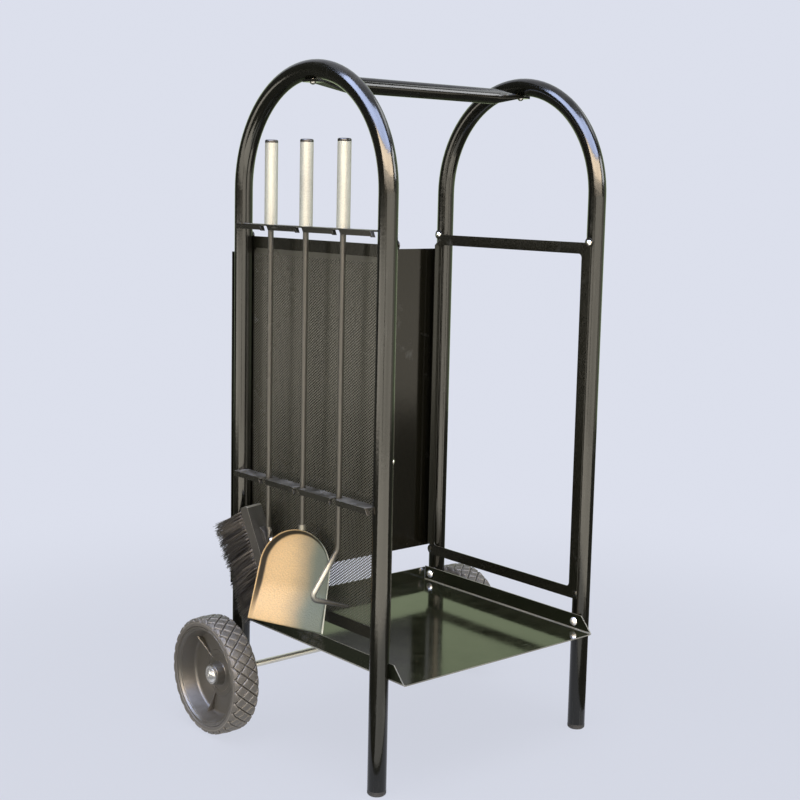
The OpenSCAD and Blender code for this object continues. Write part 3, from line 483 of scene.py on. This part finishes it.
def skins(rings, closed=False):
    """Closed skins over K rows of rings (K x rings x points of a ring x 3): a quad between
    each two neighbours, and a fan on each end ring unless the row closes on itself."""
    k, n, m = rings.shape[:3]
    verts = rings.reshape(-1, 3)
    s, i, j = np.meshgrid(np.arange(k), np.arange(n if closed else n - 1), np.arange(m),
                          indexing="ij")
    here, there = (s * n + i) * m, (s * n + (i + 1) % n) * m
    after = (j + 1) % m
    quads = np.stack([here + j, here + after, there + after, there + j], -1).reshape(-1, 4)
    tris = np.zeros((0, 3), int)
    if not closed:
        s, j = np.meshgrid(np.arange(k), np.arange(m), indexing="ij")
        first, last, after = s * n * m, (s * n + n - 1) * m, (j + 1) % m
        hubs = len(verts) + s
        tris = np.concatenate([
            np.stack([first + after, first + j, hubs], -1).reshape(-1, 3),
            np.stack([last + j, last + after, hubs + k], -1).reshape(-1, 3)])
        verts = np.concatenate([verts, rings[:, 0].mean(1), rings[:, -1].mean(1)])
    return verts, quads, tris


def piece(name, parts, body, finish, stands_for, smooth=True, values=None):
    """One object from closed parts of (points, quads, triangles). A part whose signed
    volume is negative has its faces turned. values names a number for each point."""
    points, faces, start = [], [], 0
    for verts, quads, tris in parts:
        halves = np.concatenate([quads[:, [0, 1, 2]], quads[:, [0, 2, 3]], tris])
        a, b, c = (verts[halves[:, k]] for k in range(3))
        inward = np.einsum("ij,ij->i", a, np.cross(b, c)).sum() < 0
        for group in (quads, tris):
            faces += ((group[:, ::-1] if inward else group) + start).tolist()
        points.append(verts)
        start += len(verts)
    mesh = bpy.data.meshes.new(name)
    mesh.from_pydata(np.concatenate(points).tolist(), [], faces)
    mesh.polygons.foreach_set("use_smooth", np.full(len(mesh.polygons), smooth))
    for label, numbers in (values or {}).items():
        mesh.attributes.new(label, "FLOAT", "POINT").data.foreach_set(
            "value", np.asarray(numbers, np.float32).ravel())
    mesh.materials.append(finish)
    made = stood(name, mesh)
    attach(made, body)
    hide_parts(stands_for)


low_corner, high_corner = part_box("left_mesh_panel")
HALF_LONG, QUARTER_SHORT, STRAND = 0.00245, 0.00085, 0.00142
STRAND_DEEP, LYING_BACK = 0.62, 0.00030  # a share of the sheet's depth, and a shift
FIRST_ROW, LAST_ROW, STRIP_H, SET_IN = 0.0016, 0.0012, 0.0125, 0.0002
along = np.arange(low_corner.y + 2 * SET_IN, high_corner.y - 2 * SET_IN, HALF_LONG)
rows = np.arange(low_corner.z + FIRST_ROW, high_corner.z - LAST_ROW, 2 * QUARTER_SHORT)
k, j = np.meshgrid(np.arange(len(rows)), np.arange(len(along)), indexing="ij")
up_corner = (k + j) % 2 == 0
heights = rows[:, None] + np.where(up_corner, QUARTER_SHORT, -QUARTER_SHORT)
depth = high_corner.x - low_corner.x
section = np.array([[0.0, STRAND / 2], [depth, 0.0], [0.0, -STRAND / 2]])
strands = np.zeros((len(rows), len(along), 3, 3))
# down corners of each strand come forward and up corners lie back, so that the rising
# links catch the light and the falling ones don't
lies_back = np.where(up_corner, LYING_BACK, 0.0)
strands[..., 0] = low_corner.x + section[:, 0] * STRAND_DEEP + lies_back[..., None]
strands[..., 1] = along[None, :, None]
strands[..., 2] = heights[..., None] + section[:, 1]
mesh_coat = powder_coat("mesh_powder_coat", (0.082, 0.079, 0.057, 1),
                        (0.128, 0.121, 0.090, 1), gloss=0.28, dusty=0.5, rubbed=0.4,
                        peel_height=0.05, peel_size=700.0)
# the unslit edge strip under the frame's top bar
near_x, far_x = low_corner.x + SET_IN / 2, high_corner.x - SET_IN / 2
low_z, high_z = high_corner.z - STRIP_H, high_corner.z - SET_IN
strip = np.array([[(near_x, y, low_z), (far_x, y, low_z), (far_x, y, high_z),
                   (near_x, y, high_z)]
                  for y in (low_corner.y + SET_IN, high_corner.y - SET_IN)])
piece("expanded_mesh", [skins(strands), skins(strip[None])], "cart", mesh_coat,
      "left_mesh_panel", smooth=False)

# -------------------------------------------------------------------
# The back panel. A flat steel sheet on the outside of the rear legs, with a very glossy
# coat, held by three bright screws down each leg.
# -------------------------------------------------------------------
panel_coat = powder_coat("panel_powder_coat", (0.009, 0.008, 0.0045, 1),
                         (0.017, 0.015, 0.009, 1), gloss=0.13, dusty=0.3, rubbed=0.4,
                         stretch=(60.0, 700.0, 60.0), peel_height=0.03, peel_size=120.0)
softened("back_panel", "cart", panel_coat, 0.0004)
dress(["panel_screws"], screw_plate)

# -------------------------------------------------------------------
# The log tray. One sheet folded up at both sides and behind, its flanges slanting down to
# the open front edge, fixed to the four legs by near-white domed bolts.
# -------------------------------------------------------------------
# the green tint on what faces up is partly dust and partly a painted reflection; it hardly
# dulls the gloss
tray_coat = powder_coat("tray_powder_coat", (0.018, 0.021, 0.012, 1),
                        (0.028, 0.032, 0.018, 1), gloss=0.08, dusty=0.75, rubbed=0.6,
                        stretch=(60.0, 500.0, 500.0), peel_height=0.03, peel_size=150.0,
                        dust_and_sheen_colour=(0.080, 0.088, 0.055, 1), dust_dulls=0.05)
# painted highlight: a pale, patchy colour on the tray's rounded edges and cut faces
tray_highlit_edge = powder_coat("tray_edge_painted_highlight", (0.66, 0.64, 0.55, 1), (0.04, 0.04, 0.03, 1),
                        gloss=0.3, dusty=0.3, rubbed=1.0)
softened("log_tray", "cart", tray_coat, 0.0005, tray_highlit_edge)
white_plate = plated("bolt_white_plate", (0.93, 0.93, 0.90, 1), (0.86, 0.86, 0.83, 1),
                     gloss=0.34, grime=0.15)
dress(["tray_bolts"], white_plate)

# -------------------------------------------------------------------
# The tool racks. Two strips of folded sheet welded outside the left hoop; each has three
# open slots, and fingers with slanted ends that keep the rods in. A bright rivet closes
# each front leg's joint at mid height.
# -------------------------------------------------------------------
rack_coat = powder_coat("rack_powder_coat", (0.008, 0.0085, 0.0055, 1),
                        (0.028, 0.026, 0.017, 1), gloss=0.26, dusty=1.0, rubbed=0.5,
                        stretch=(60.0, 60.0, 500.0), peel_height=0.08, peel_size=380.0)
# painted highlight: a paler colour on the racks' rounded edges and cut faces
rack_highlit_edge = powder_coat("rack_edge_painted_highlight", (0.20, 0.19, 0.16, 1), (0.05, 0.05, 0.04, 1),
                        gloss=0.3, dusty=0.3, rubbed=1.0)
softened("upper_tool_rack", "cart", rack_coat, 0.0005, rack_highlit_edge)
softened("lower_tool_rack", "cart", rack_coat, 0.0005, rack_highlit_edge)
dress(["leg_rivets"], screw_plate)

# -------------------------------------------------------------------
# The axle. A drawn steel rod through both rear legs, bare and a little stained, with a
# plated washer inside each wheel and a domed chrome cap pushed on each end.
# -------------------------------------------------------------------
axle_steel = plated("axle_drawn_steel", (0.78, 0.76, 0.68, 1), (0.62, 0.60, 0.52, 1),
                    gloss=0.40, grime=0.4, stretch=(20.0, 900.0, 900.0))
dress(["axle", "axle_washers"], axle_steel)
cap_chrome = plated("axle_cap_chrome", (0.86, 0.86, 0.84, 1), (0.70, 0.69, 0.66, 1),
                    gloss=0.24, grime=0.3, metallic=0.55)
dress(["axle_caps"], cap_chrome)

# -------------------------------------------------------------------
# The wheel hubs. Each is one black plastic moulding, dished on its outer face, with three
# gussets between the disc and the wall of the dish, a stepped ring round the boss, and a
# thin lip that holds the tyre.
# -------------------------------------------------------------------


def filleted(points, radii, steps=6):
    """The polyline with an arc in place of each inner corner: from the tangent point, the
    path turns on a circle of the given radius, made smaller where a side is too short."""
    points = np.asarray(points, float)
    line = [points[0]]
    for before, corner, after, r in zip(points[:-2], points[1:-1], points[2:], radii):
        u, v = corner - before, after - corner
        lu, lv = np.linalg.norm(u), np.linalg.norm(v)
        u, v = u / lu, v / lv
        angle = math.acos(np.clip(u @ v, -1, 1))
        reach = min(r * math.tan(angle / 2), 0.45 * lu, 0.45 * lv)
        r = reach / math.tan(angle / 2)
        across = v - (v @ u) * u
        across /= np.linalg.norm(across)
        s = np.linspace(0, angle, steps)[:, None]
        line += list(corner - reach * u + r * (np.sin(s) * u + (1 - np.cos(s)) * across))
    line.append(points[-1])
    return np.array(line)


def heading(degrees):
    """The unit vector at that angle and the one a quarter turn on, in a plane."""
    a = math.radians(degrees)
    return np.array([math.cos(a), math.sin(a)]), np.array([-math.sin(a), math.cos(a)])


SIDES = (("left", -1), ("right", 1))
WHEEL_X, AXLE_Y, WHEEL_R = 0.20825, 0.113, 0.074
HALF_W, FACE = 0.018, -0.006  # heights over the middle of the wheel, outward
GUSSET_TURNS, GUSSET_H, GUSSET_HALF_W, ROOTED = (45, 165, 285), 0.0085, 0.001, 0.0006
# the hub's half section as (radius, height) in mm: the bore, round the back of the disc,
# under the tyre, over the lip, down the wall of the dish, the ring and the boss
hub_corners = [(4.08, 5.5), (4.08, -27.85), (12, -27.85), (15, -9), (51, -9), (60, -15),
               (63, -16), (63, 16.4), (62.2, 17.4), (60.2, 17.4), (58.6, 14.6), (57.4, 14.2),
               (53.2, -6), (30, -6), (29, -5.2), (23.5, -5.2), (22.5, -6), (15, -6),
               (13.2, 5.5), (4.09, 5.5)]
hub_rounding = [0.4, 1, 2, 3, 2, 0.6, 0.6, 0.7, 0.9, 0.8, 1.4, 4.5, 0.5, 0.5, 0.5, 0.5, 1.6,
                1.4]
hub_r, hub_h = filleted(hub_corners, hub_rounding)[:-1].T / 1000
# a gusset: its height grows from the ring to the wall, over a rounded cross-section
gusset_r = np.linspace(0.020, 0.0568, 14)
gusset_height = GUSSET_H * np.clip((gusset_r - 0.0205) / 0.035, 0, 1) ** 1.15
outline = np.array([(-0.9, -0.6), (-0.8, 0.75), (-0.45, 1.0), (0.45, 1.0), (0.8, 0.75),
                    (0.9, -0.6)])
hub_moulding = powder_coat("hub_moulding", (0.100, 0.092, 0.076, 1),
                           (0.165, 0.148, 0.122, 1), gloss=0.33, dusty=0.5, rubbed=0.6,
                           stretch=(90.0, 300.0, 300.0), peel_height=0.10, peel_size=500.0)
turn = np.linspace(0, 2 * np.pi, 128, endpoint=False)[:, None]
for side, outward in SIDES:
    revolved = np.stack([outward * (WHEEL_X + hub_h) + 0 * turn, AXLE_Y + hub_r * np.cos(turn),
                         WHEEL_R + hub_r * np.sin(turn)], -1)
    parts = [skins(revolved[None], closed=True)]
    for degrees in GUSSET_TURNS:
        radial, across = heading(degrees if outward < 0 else 180 - degrees)
        wide = outline[:, 0] * GUSSET_HALF_W
        tall = np.where(outline[:, 1] > 0, FACE + gusset_height[:, None] * outline[:, 1]
                        + 0.0002, FACE - ROOTED)
        flat = gusset_r[:, None, None] * radial + wide[None, :, None] * across
        gusset = np.concatenate([outward * (WHEEL_X + tall)[..., None],
                                 flat + np.array([AXLE_Y, WHEEL_R])], -1)
        parts.append(skins(gusset[None]))
    piece(side + "_hub", parts, side + "_wheel", hub_moulding,
          side + "_wheel_hub")

# -------------------------------------------------------------------
# The tyres. Solid rubber rings on the hubs. Two sets of slanting grooves cross on the
# tread and leave diamond blocks that run out over the shoulders; the blocks are scuffed.
# Painted shade darkens the grooves, and a painted highlight makes the blocks' edges and the
# shoulders paler.
# -------------------------------------------------------------------


def smooth_step(low, high, x):
    """3t^2 - 2t^3, where t goes from 0 at low to 1 at high."""
    t = np.clip((x - low) / (high - low), 0, 1)
    return t * t * (3 - 2 * t)


def run_along(line):
    """The distance from a line's start to each of its points."""
    return np.concatenate([[0], np.cumsum(np.linalg.norm(np.diff(line, axis=0), axis=1))])


# all in mm: the tyre's half section as (radius, distance from its middle), then the tread
half, tread_r = HALF_W * 1000, WHEEL_R * 1000
GROOVES, LEAD, GROOVE_DEEP, CROWNED = 30, math.radians(40), 1.9, 0.25
TREAD_TO, TREAD_END, SHOULDER = 18.8, 21.0, 21.6
shoulder_line = [(63, half - 1.2), (63.6, half - 0.1), (69.8, half), (73.2, half - 3.2)]
tyre_line = filleted([(r, -x) for r, x in shoulder_line] + [(tread_r, 0)]
                     + shoulder_line[::-1], [0.4, 2.2, 3.2, 60, 3.2, 2.2, 0.4], 8)
steps = run_along(tyre_line)
even = np.linspace(0, steps[-1], 92)
tyre_line = np.stack([np.interp(even, steps, tyre_line[:, k]) for k in (0, 1)], 1)
tangent = np.gradient(tyre_line, axis=0)
tangent /= np.linalg.norm(tangent, axis=1)[:, None]
outer = np.stack([tangent[:, 1], -tangent[:, 0]], 1)
angle = np.linspace(0, 2 * np.pi, 760, endpoint=False)[:, None]
# distance from each point of the tread to the nearest line of each slanting set
pitch = 2 * math.pi * tread_r / GROOVES
round_way, across_way = angle * tread_r, run_along(tyre_line)
across_way = (across_way - across_way[-1] / 2)[None]
gap = [np.abs((round_way + s * across_way * math.tan(LEAD) + pitch / 2) % pitch - pitch / 2)
       * math.cos(LEAD) for s in (-1, 1)]
nearest = np.minimum(*gap)
reach = 1 - smooth_step(TREAD_TO, TREAD_END, np.abs(across_way))
# the grooves' walls waver a little; each block is crowned, and its edges get a painted
# highlight
wobble = 0.12 * np.sin(angle * 41 + across_way * 0.7) * np.sin(angle * 17 - across_way)
cut = (1 - smooth_step(0.35 + wobble, 1.15 + wobble, nearest)) * reach
shoulder = np.exp(-((np.abs(across_way) - SHOULDER) / 0.5) ** 2)
tread_edge_highlight = np.maximum(np.exp(-((nearest - 1.35) / 0.5) ** 2) * reach, shoulder)
block = reach * CROWNED * smooth_step(1.2, 4.2, nearest)
sunk = GROOVE_DEEP * cut + CROWNED * reach - block
surface = tyre_line[None] - sunk[..., None] * outer[None]
underside = np.broadcast_to(np.array([(62.9, half - 1.6), (62.9, 0), (62.9, -half + 1.6)]),
                            (len(angle), 3, 2))
section = np.concatenate([surface, underside], 1) / 1000
groove_shade_value, tread_highlight_value = (np.concatenate([value, np.zeros((len(angle), 3))], 1)
                           for value in (cut, tread_edge_highlight))


def own_value(tree, name):
    """The number that a piece carries under that name for each of its points."""
    return node(tree, "ShaderNodeAttribute", attribute_name=name).outputs["Fac"]


rubber, tree, bsdf = finish_material("tyre_rubber", IOR=1.5)
skin = placed(tree, peel, size=900.0)
lain = placed(tree, dust, amount=0.6)["Mask"]
worn = placed(tree, rubs, amount=0.9, stretch=(120.0, 300.0, 300.0))["Mask"]
base = mixed(tree, skin["Mottle"], (0.078, 0.071, 0.058, 1), (0.185, 0.165, 0.135, 1))
# painted shade: the colour darkens with the depth of the grooves
base = mixed(tree, own_value(tree, "groove"), base, (0.011, 0.010, 0.008, 1))
# painted highlight: paler in patches along the blocks' edges and over the shoulders
patchy = reckoned(tree, "MULTIPLY", own_value(tree, "block_edge_painted_highlight"), skin["Mottle"])
base = mixed(tree, patchy, base, (0.40, 0.36, 0.29, 1))
base = mixed(tree, worn, base, (0.22, 0.20, 0.175, 1))
base = mixed(tree, lain, base, (0.24, 0.22, 0.19, 1))
wired(tree, bsdf, base, between(tree, skin["Mottle"], 0.45, 0.72), skin["Height"], 0.35)
for side, outward in SIDES:
    rings = np.stack([outward * (WHEEL_X + section[..., 1]),
                      AXLE_Y + section[..., 0] * np.cos(angle),
                      WHEEL_R + section[..., 0] * np.sin(angle)], -1)[None]
    piece(side + "_treaded_tyre", [skins(rings, closed=True)], side + "_wheel",
          rubber, side + "_tyre",
          values={"groove": groove_shade_value, "block_edge_painted_highlight": tread_highlight_value})

# -------------------------------------------------------------------
# The poker. One black coated rod: it hangs straight through both racks, runs out in a
# barb, turns back at a tight elbow and ends in a blunt point. A bright plated sleeve is
# its handle, closed by a black moulded cap.
# -------------------------------------------------------------------
HANG_X, SHOVEL_Y, SLOT_STEP = -0.1745, -0.0205, 0.069  # where the three tools hang
ROD_R, TIP_R, TIP_LEN, TAPER_LEN = 0.0034, 0.0018, 0.0012, 0.045
ROD_TOP, BEND_Z, ELBOW, POINT = 0.6972, 0.273, (0.033, 0.217), (-0.016, 0.203)
BARB_TURN = 180 - 17


def rod(path, normal, radii, sides=20):
    """Rings of the given radii round a path that lies in one plane with that normal."""
    along = np.gradient(path, axis=0)
    along /= np.linalg.norm(along, axis=1)[:, None]
    across = np.cross(normal, along)
    a = np.linspace(0, 2 * np.pi, sides, endpoint=False)[None, :, None]
    return (path[:, None] + np.asarray(radii)[:, None, None]
            * (np.cos(a) * across[:, None] + np.sin(a) * np.asarray(normal)))[None]


COAT, COAT_WARM = (0.042, 0.038, 0.028, 1), (0.073, 0.066, 0.049, 1)
rod_coat = powder_coat("rod_powder_coat", COAT, COAT_WARM, gloss=0.28, dusty=0.4,
                       rubbed=1.0, stretch=(500.0, 500.0, 30.0), peel_height=0.08,
                       peel_size=420.0)
out, flank = (np.append(way, 0) for way in heading(BARB_TURN))
bends = filleted([(0, ROD_TOP), (0, BEND_Z), ELBOW, POINT], [0.016, 0.0065], 14)
bends = np.concatenate([np.linspace(bends[0], bends[1], 30)[:-1], bends[1:-1],
                        np.linspace(bends[-2], bends[-1], 14)[1:]])
path = np.array([HANG_X, SHOVEL_Y - SLOT_STEP, 0]) + bends[:, :1] * out \
    + bends[:, 1:] * np.array([0, 0, 1.0])
left = np.linalg.norm(bends - bends[-1], axis=1)
thin = np.where(np.arange(len(bends)) > len(bends) - 15,
                np.interp(left, [0, TIP_LEN, TAPER_LEN], [0.0010, TIP_R, ROD_R]), ROD_R)
# a painted highlight: a pale grey, half metallic band on the barb's slope, above the elbow
poker_coat, tree, bsdf = finish_material("poker_coat_painted_highlight", IOR=1.5)
skin = placed(tree, peel, size=420.0)
worn = placed(tree, rubs, amount=1.0, stretch=(300.0, 300.0, 30.0))["Mask"]
height = height_up(tree)
ragged = reckoned(tree, "MULTIPLY_ADD", skin["Mottle"], 0.030, height)
barb_highlight = reckoned(tree, "MULTIPLY",
                 ranged(tree, ragged, 0.288, 0.262, 0.0, 0.85, kind="SMOOTHSTEP"),
                 ranged(tree, height, 0.212, 0.226))
base = mixed(tree, skin["Mottle"], COAT, COAT_WARM)
base = mixed(tree, barb_highlight, base, (0.50, 0.49, 0.43, 1))
base = mixed(tree, worn, base, (0.17, 0.16, 0.13, 1))
tree.links.new(between(tree, barb_highlight, 0.0, 0.5), bsdf.inputs["Metallic"])
wired(tree, bsdf, base, between(tree, skin["Mottle"], 0.24, 0.38), skin["Height"], 0.1, 0.001)
piece("poker_stem", [skins(rod(path, flank, thin))], "poker", poker_coat,
      "poker_rod")
# the dark streaks along the handles are a painted reflection, from the rubs in plated()
handle_plate = plated("handle_chrome", (0.59, 0.595, 0.51, 1), (0.44, 0.445, 0.37, 1),
                      gloss=0.46, grime=0.45, stretch=(900.0, 900.0, 8.0), metallic=0.15)
dress(["poker_handle", "shovel_handle", "brush_handle"], handle_plate)
end_moulding = powder_coat("handle_end_moulding", (0.014, 0.014, 0.014, 1),
                           (0.022, 0.021, 0.020, 1), gloss=0.25, dusty=0.4, rubbed=0.4)
dress(["poker_cap", "shovel_cap", "brush_cap"], end_moulding)

# -------------------------------------------------------------------
# The shovel. The rod is welded into a short socket on the arch of a dished pan, pressed
# from thin sheet with a satin brass wash. A painted reflection turns it grey-green along one
# side, painted shade darkens the inside of its wall and a painted highlight lightens the rim
# on that side.
# The wall of the dish runs out towards the open lower edge.
# -------------------------------------------------------------------


def carried(points, *moves):
    """Points taken through nested frames, innermost last: a move is a shift (x, y, z) or
    a turn ("x", "y" or "z", degrees)."""
    for move in reversed(moves):
        if isinstance(move[0], str):
            c, s = math.cos(math.radians(move[1])), math.sin(math.radians(move[1]))
            i, j = {"x": (1, 2), "y": (2, 0), "z": (0, 1)}[move[0]]
            points = points.copy()
            points[..., i], points[..., j] = (c * points[..., i] - s * points[..., j],
                                              s * points[..., i] + c * points[..., j])
        else:
            points = points + np.asarray(move, float)
    return points


def for_points(grid, first, last):
    """A number for each point of an open skin: the rings' own, then those of its end hubs."""
    return np.concatenate([grid.ravel(), np.atleast_1d(first), np.atleast_1d(last)])


dress(["shovel_rod"], rod_coat)
dress(["shovel_socket"], plated("socket_plate", (0.30, 0.29, 0.25, 1), (0.14, 0.135, 0.11, 1),
                                gloss=0.38, grime=0.6, metallic=0.6))
# the pan, flat: an arch of radius ARCH on a body that widens to HALF_OPEN at the mouth
ARCH, LENGTH, HALF_OPEN, DEEP, SHEET = 0.047, 0.1135, 0.0505, 0.0087, 0.00115
WALL_W, BELLY_W, PAN_Z, PAN_BACK = 0.0055, 0.034, 0.2824, 0.0044
PAN_TURN, PAN_LEAN, PAN_SKEW = 25, 14, 2.5
s = np.linspace(-1, 1, 119)
s = np.sign(s) * (1 - (1 - np.abs(s)) ** 1.7)
lift = np.radians(np.linspace(90, 0, 60))
down = np.concatenate([-ARCH + ARCH * np.sin(lift),
                       np.linspace(-ARCH, -LENGTH, 44)[1:]])[:, None]
half_wide = np.where(down > -ARCH, np.sqrt(np.maximum(ARCH ** 2 - (down + ARCH) ** 2, 0)),
                     np.interp(-down, [ARCH, LENGTH], [ARCH, HALF_OPEN]))
across = half_wide * s
inset = np.where(down > -ARCH, ARCH - np.hypot(across, down + ARCH),
                 half_wide - np.abs(across))
# nine tenths of the depth is in the wall along the rim, the rest in the belly
wall = 0.90 * smooth_step(0.0, WALL_W, inset) + 0.10 * smooth_step(0.004, BELLY_W, inset)
run_out = smooth_step(-0.006, 0.050, down + LENGTH)
run_out = (run_out - run_out[-1]) / (1 - run_out[-1])
dish = np.stack([across, down + 0 * across, -DEEP * wall * run_out - 0.00005], -1)
under = dish - np.array([0, 0, SHEET])
# each row runs over the hollow face and back under it, which closes the sheet's edge
loop = carried(np.concatenate([dish, under[:, ::-1]], 1), (HANG_X, SHOVEL_Y, PAN_Z),
               ("z", PAN_TURN - 90), (0, -PAN_BACK, 0), ("x", 90 - PAN_LEAN),
               ("z", -PAN_SKEW))
sideways = across / HALF_OPEN
# painted shade: a band inside the wall, 1 to 6 mm in from the rim, fading towards the mouth and
# gone on the grey-green side
in_shade = smooth_step(0.0006, 0.0016, inset) * (1 - smooth_step(0.004, 0.0065, inset)) \
    * run_out ** 0.5 * (1 - smooth_step(0.45, 0.85, sideways))
# painted highlight: a pale band along the rim on the grey-green side
rim_highlight_band = (1 - smooth_step(0.0012, 0.0021, inset)) * smooth_step(0.5, 0.9, sideways)
pan_values = {"pan_across": (sideways, sideways), "pan_wall_painted_shade": (in_shade, 0 * in_shade),
              "pan_rim_painted_highlight": (rim_highlight_band, rim_highlight_band)}
pan_values = {label: np.concatenate([upper, lower[:, ::-1]], 1)
              for label, (upper, lower) in pan_values.items()}

pan_metal, tree, bsdf = finish_material("pan_brass_wash", Metallic=0.15,
                                        Specular_IOR_Level=0.25)
skin = placed(tree, peel, size=520.0)
worn = placed(tree, rubs, amount=0.6, stretch=(90.0, 90.0, 90.0))["Mask"]
# painted reflection: the colour turns grey-green towards one side, with a ragged edge from the
# mottle
shifted = reckoned(tree, "MULTIPLY_ADD", skin["Mottle"], 0.9, own_value(tree, "pan_across"))
dim_side_reflection = ranged(tree, shifted, 0.15, 1.05, kind="SMOOTHSTEP")
speckle = ranged(tree, clouds(tree, own_places(tree), 620.0, 2.0), 0.42, 0.68)
base = mixed(tree, skin["Mottle"], (0.68, 0.465, 0.217, 1), (0.55, 0.38, 0.18, 1))
base = mixed(tree, between(tree, speckle, 0.0, 0.5), base, (0.40, 0.31, 0.18, 1))
base = mixed(tree, dim_side_reflection, base, (0.118, 0.138, 0.100, 1))
base = mixed(tree, worn, base, (0.52, 0.43, 0.28, 1))
# painted shade inside the wall
base = mixed(tree, own_value(tree, "pan_wall_painted_shade"), base, (0.030, 0.026, 0.018, 1))
# painted highlight on the rim
base = mixed(tree, own_value(tree, "pan_rim_painted_highlight"), base, (0.66, 0.66, 0.54, 1))
wired(tree, bsdf, base, between(tree, skin["Mottle"], 0.55, 0.72), skin["Height"], 0.5)
piece("dished_pan", [skins(loop[None])], "shovel", pan_metal, "shovel_pan",
      values={label: for_points(grid, grid[0].mean(), grid[-1].mean())
              for label, grid in pan_values.items()})

# -------------------------------------------------------------------
# The brush. Its rod bends down the back of a stained wooden head, where the flattened end
# is bolted to a raised pad. Coarse black bristles are set in the head in tufts; they lean
# down the head, and their tips have spread and curled with use.
# -------------------------------------------------------------------
dress(["brush_rod"], rod_coat)
dress(["brush_bolt"], white_plate)
head_wood, tree, bsdf = finish_material("brush_head_wood", IOR=1.5)
grain_at = placed(tree, rubs, amount=0.9, stretch=(700.0, 700.0, 60.0))["Mask"]
skin = placed(tree, peel, size=500.0)
lain = placed(tree, dust, amount=0.3)["Mask"]
base = mixed(tree, skin["Mottle"], (0.019, 0.017, 0.013, 1), (0.040, 0.035, 0.026, 1))
base = mixed(tree, grain_at, base, (0.014, 0.012, 0.009, 1))
base = mixed(tree, lain, base, (0.35, 0.33, 0.27, 1))
wired(tree, bsdf, base, between(tree, skin["Mottle"], 0.35, 0.6), skin["Height"], 0.3)
# painted highlight: a pale colour on the head's rounded edges and cut faces
head_highlit_edge = powder_coat("brush_head_edge_painted_highlight", (0.46, 0.44, 0.36, 1),
                        (0.06, 0.055, 0.045, 1), gloss=0.45, dusty=0.2, rubbed=1.0)
softened("brush_head", "brush", head_wood, 0.0011, head_highlit_edge)

# the bristles, in mm in the head's own frame: x runs out of the head, z up along it
TUFTS, ACROSS, STRANDS, POINTS = 30, 6, 20, 6
LOWEST, TUFT_RUN, TUFT_STEP, BRISTLE, BRISTLE_R = -82.0, 109.5, 4.0, 49.0, 0.42
rng, rng_tuft = np.random.default_rng(5450), np.random.default_rng(77)
tuft_u, tuft_v, _ = (a.ravel() for a in np.meshgrid(np.arange(TUFTS), np.arange(ACROSS),
                                                    np.arange(STRANDS), indexing="ij"))
count = len(tuft_u)
place_u = (tuft_u + 0.5 * (tuft_v % 2) + 0.25) / TUFTS
root_z = LOWEST + place_u * TUFT_RUN + rng.normal(0, 0.55, count)
root_y = (tuft_v + 0.5 - ACROSS / 2) * TUFT_STEP + rng.normal(0, 0.7, count)
lean_tuft = rng_tuft.normal(0, 1.0, (TUFTS, ACROSS))[tuft_u, tuft_v]
side_tuft = rng_tuft.normal(0, 1.0, (TUFTS, ACROSS))[tuft_u, tuft_v]
length = BRISTLE * (1 - 0.07 * rng.random(count)) * (1 + 0.02 * np.sin(9.0 * place_u))
t = np.linspace(0, 1, POINTS)[None]
# each strand runs out, leans down and wavers; its tuft and its own chance spread the tip
spread_z = rng.normal(0, 2.2, count)[:, None] + 0.7 * lean_tuft[:, None]
spread_y = rng.normal(0, 1.2, count)[:, None] + 1.0 * side_tuft[:, None]
sag = (-21 + 13 * place_u)[:, None]
x = 0.4 + length[:, None] * t
y = root_y[:, None] * (1 + 0.28 * t) + spread_y * t ** 1.6 \
    + 0.35 * np.sin(7 * t + tuft_u[:, None])
z = root_z[:, None] + sag * t ** 1.15 + spread_z * t ** 1.5 \
    + 0.4 * np.sin(8 * t + 2 * tuft_u[:, None] + tuft_v[:, None])
centre = np.stack([x, y, np.maximum(z, -112.0)], -1)
thick = BRISTLE_R * (1 - 0.5 * t)[..., None, None]
a = np.radians([0, 120, 240])
rings = centre[:, :, None] + thick * np.stack([0 * a, np.cos(a), np.sin(a)], -1)
BRUSH_TURN, HEAD_Z, HEAD_LEAN, ROOTS_AT = 105, 0.2715, 22.2, (0.0185, 0.0055, 0)
rings = carried(rings / 1000, (HANG_X, SHOVEL_Y + SLOT_STEP, 0), ("z", BRUSH_TURN),
                (0, 0, HEAD_Z), ("y", HEAD_LEAN), ROOTS_AT)
bristle_black, tree, bsdf = finish_material("bristle_black", IOR=1.5)
skin = placed(tree, peel, size=300.0)
# each strand runs from black to a pale brown with its tone; the pale brown is partly a painted
# highlight
base = mixed(tree, own_value(tree, "strand_painted_highlight"), (0.011, 0.009, 0.008, 1),
             (0.210, 0.180, 0.142, 1))
base = mixed(tree, reckoned(tree, "MULTIPLY", own_value(tree, "along"), 0.5), base,
             (0.070, 0.062, 0.058, 1))
wired(tree, bsdf, base, between(tree, skin["Mottle"], 0.35, 0.6))
# tones differ at random and with each tuft's lean, partly as a painted highlight
tone = np.clip(0.32 + 0.20 * rng.normal(0, 1, count) + 0.38 * lean_tuft, 0, 1)
along_value = np.broadcast_to(t[..., None], (count, POINTS, len(a)))
strand_highlight_value = np.broadcast_to(tone[:, None, None], (count, POINTS, len(a)))
piece("bristle_tufts", [skins(rings)], "brush", bristle_black,
      "brush_bristles",
      values={"along": for_points(along_value, np.zeros(count), np.ones(count)),
              "strand_painted_highlight": for_points(strand_highlight_value, tone, tone)})
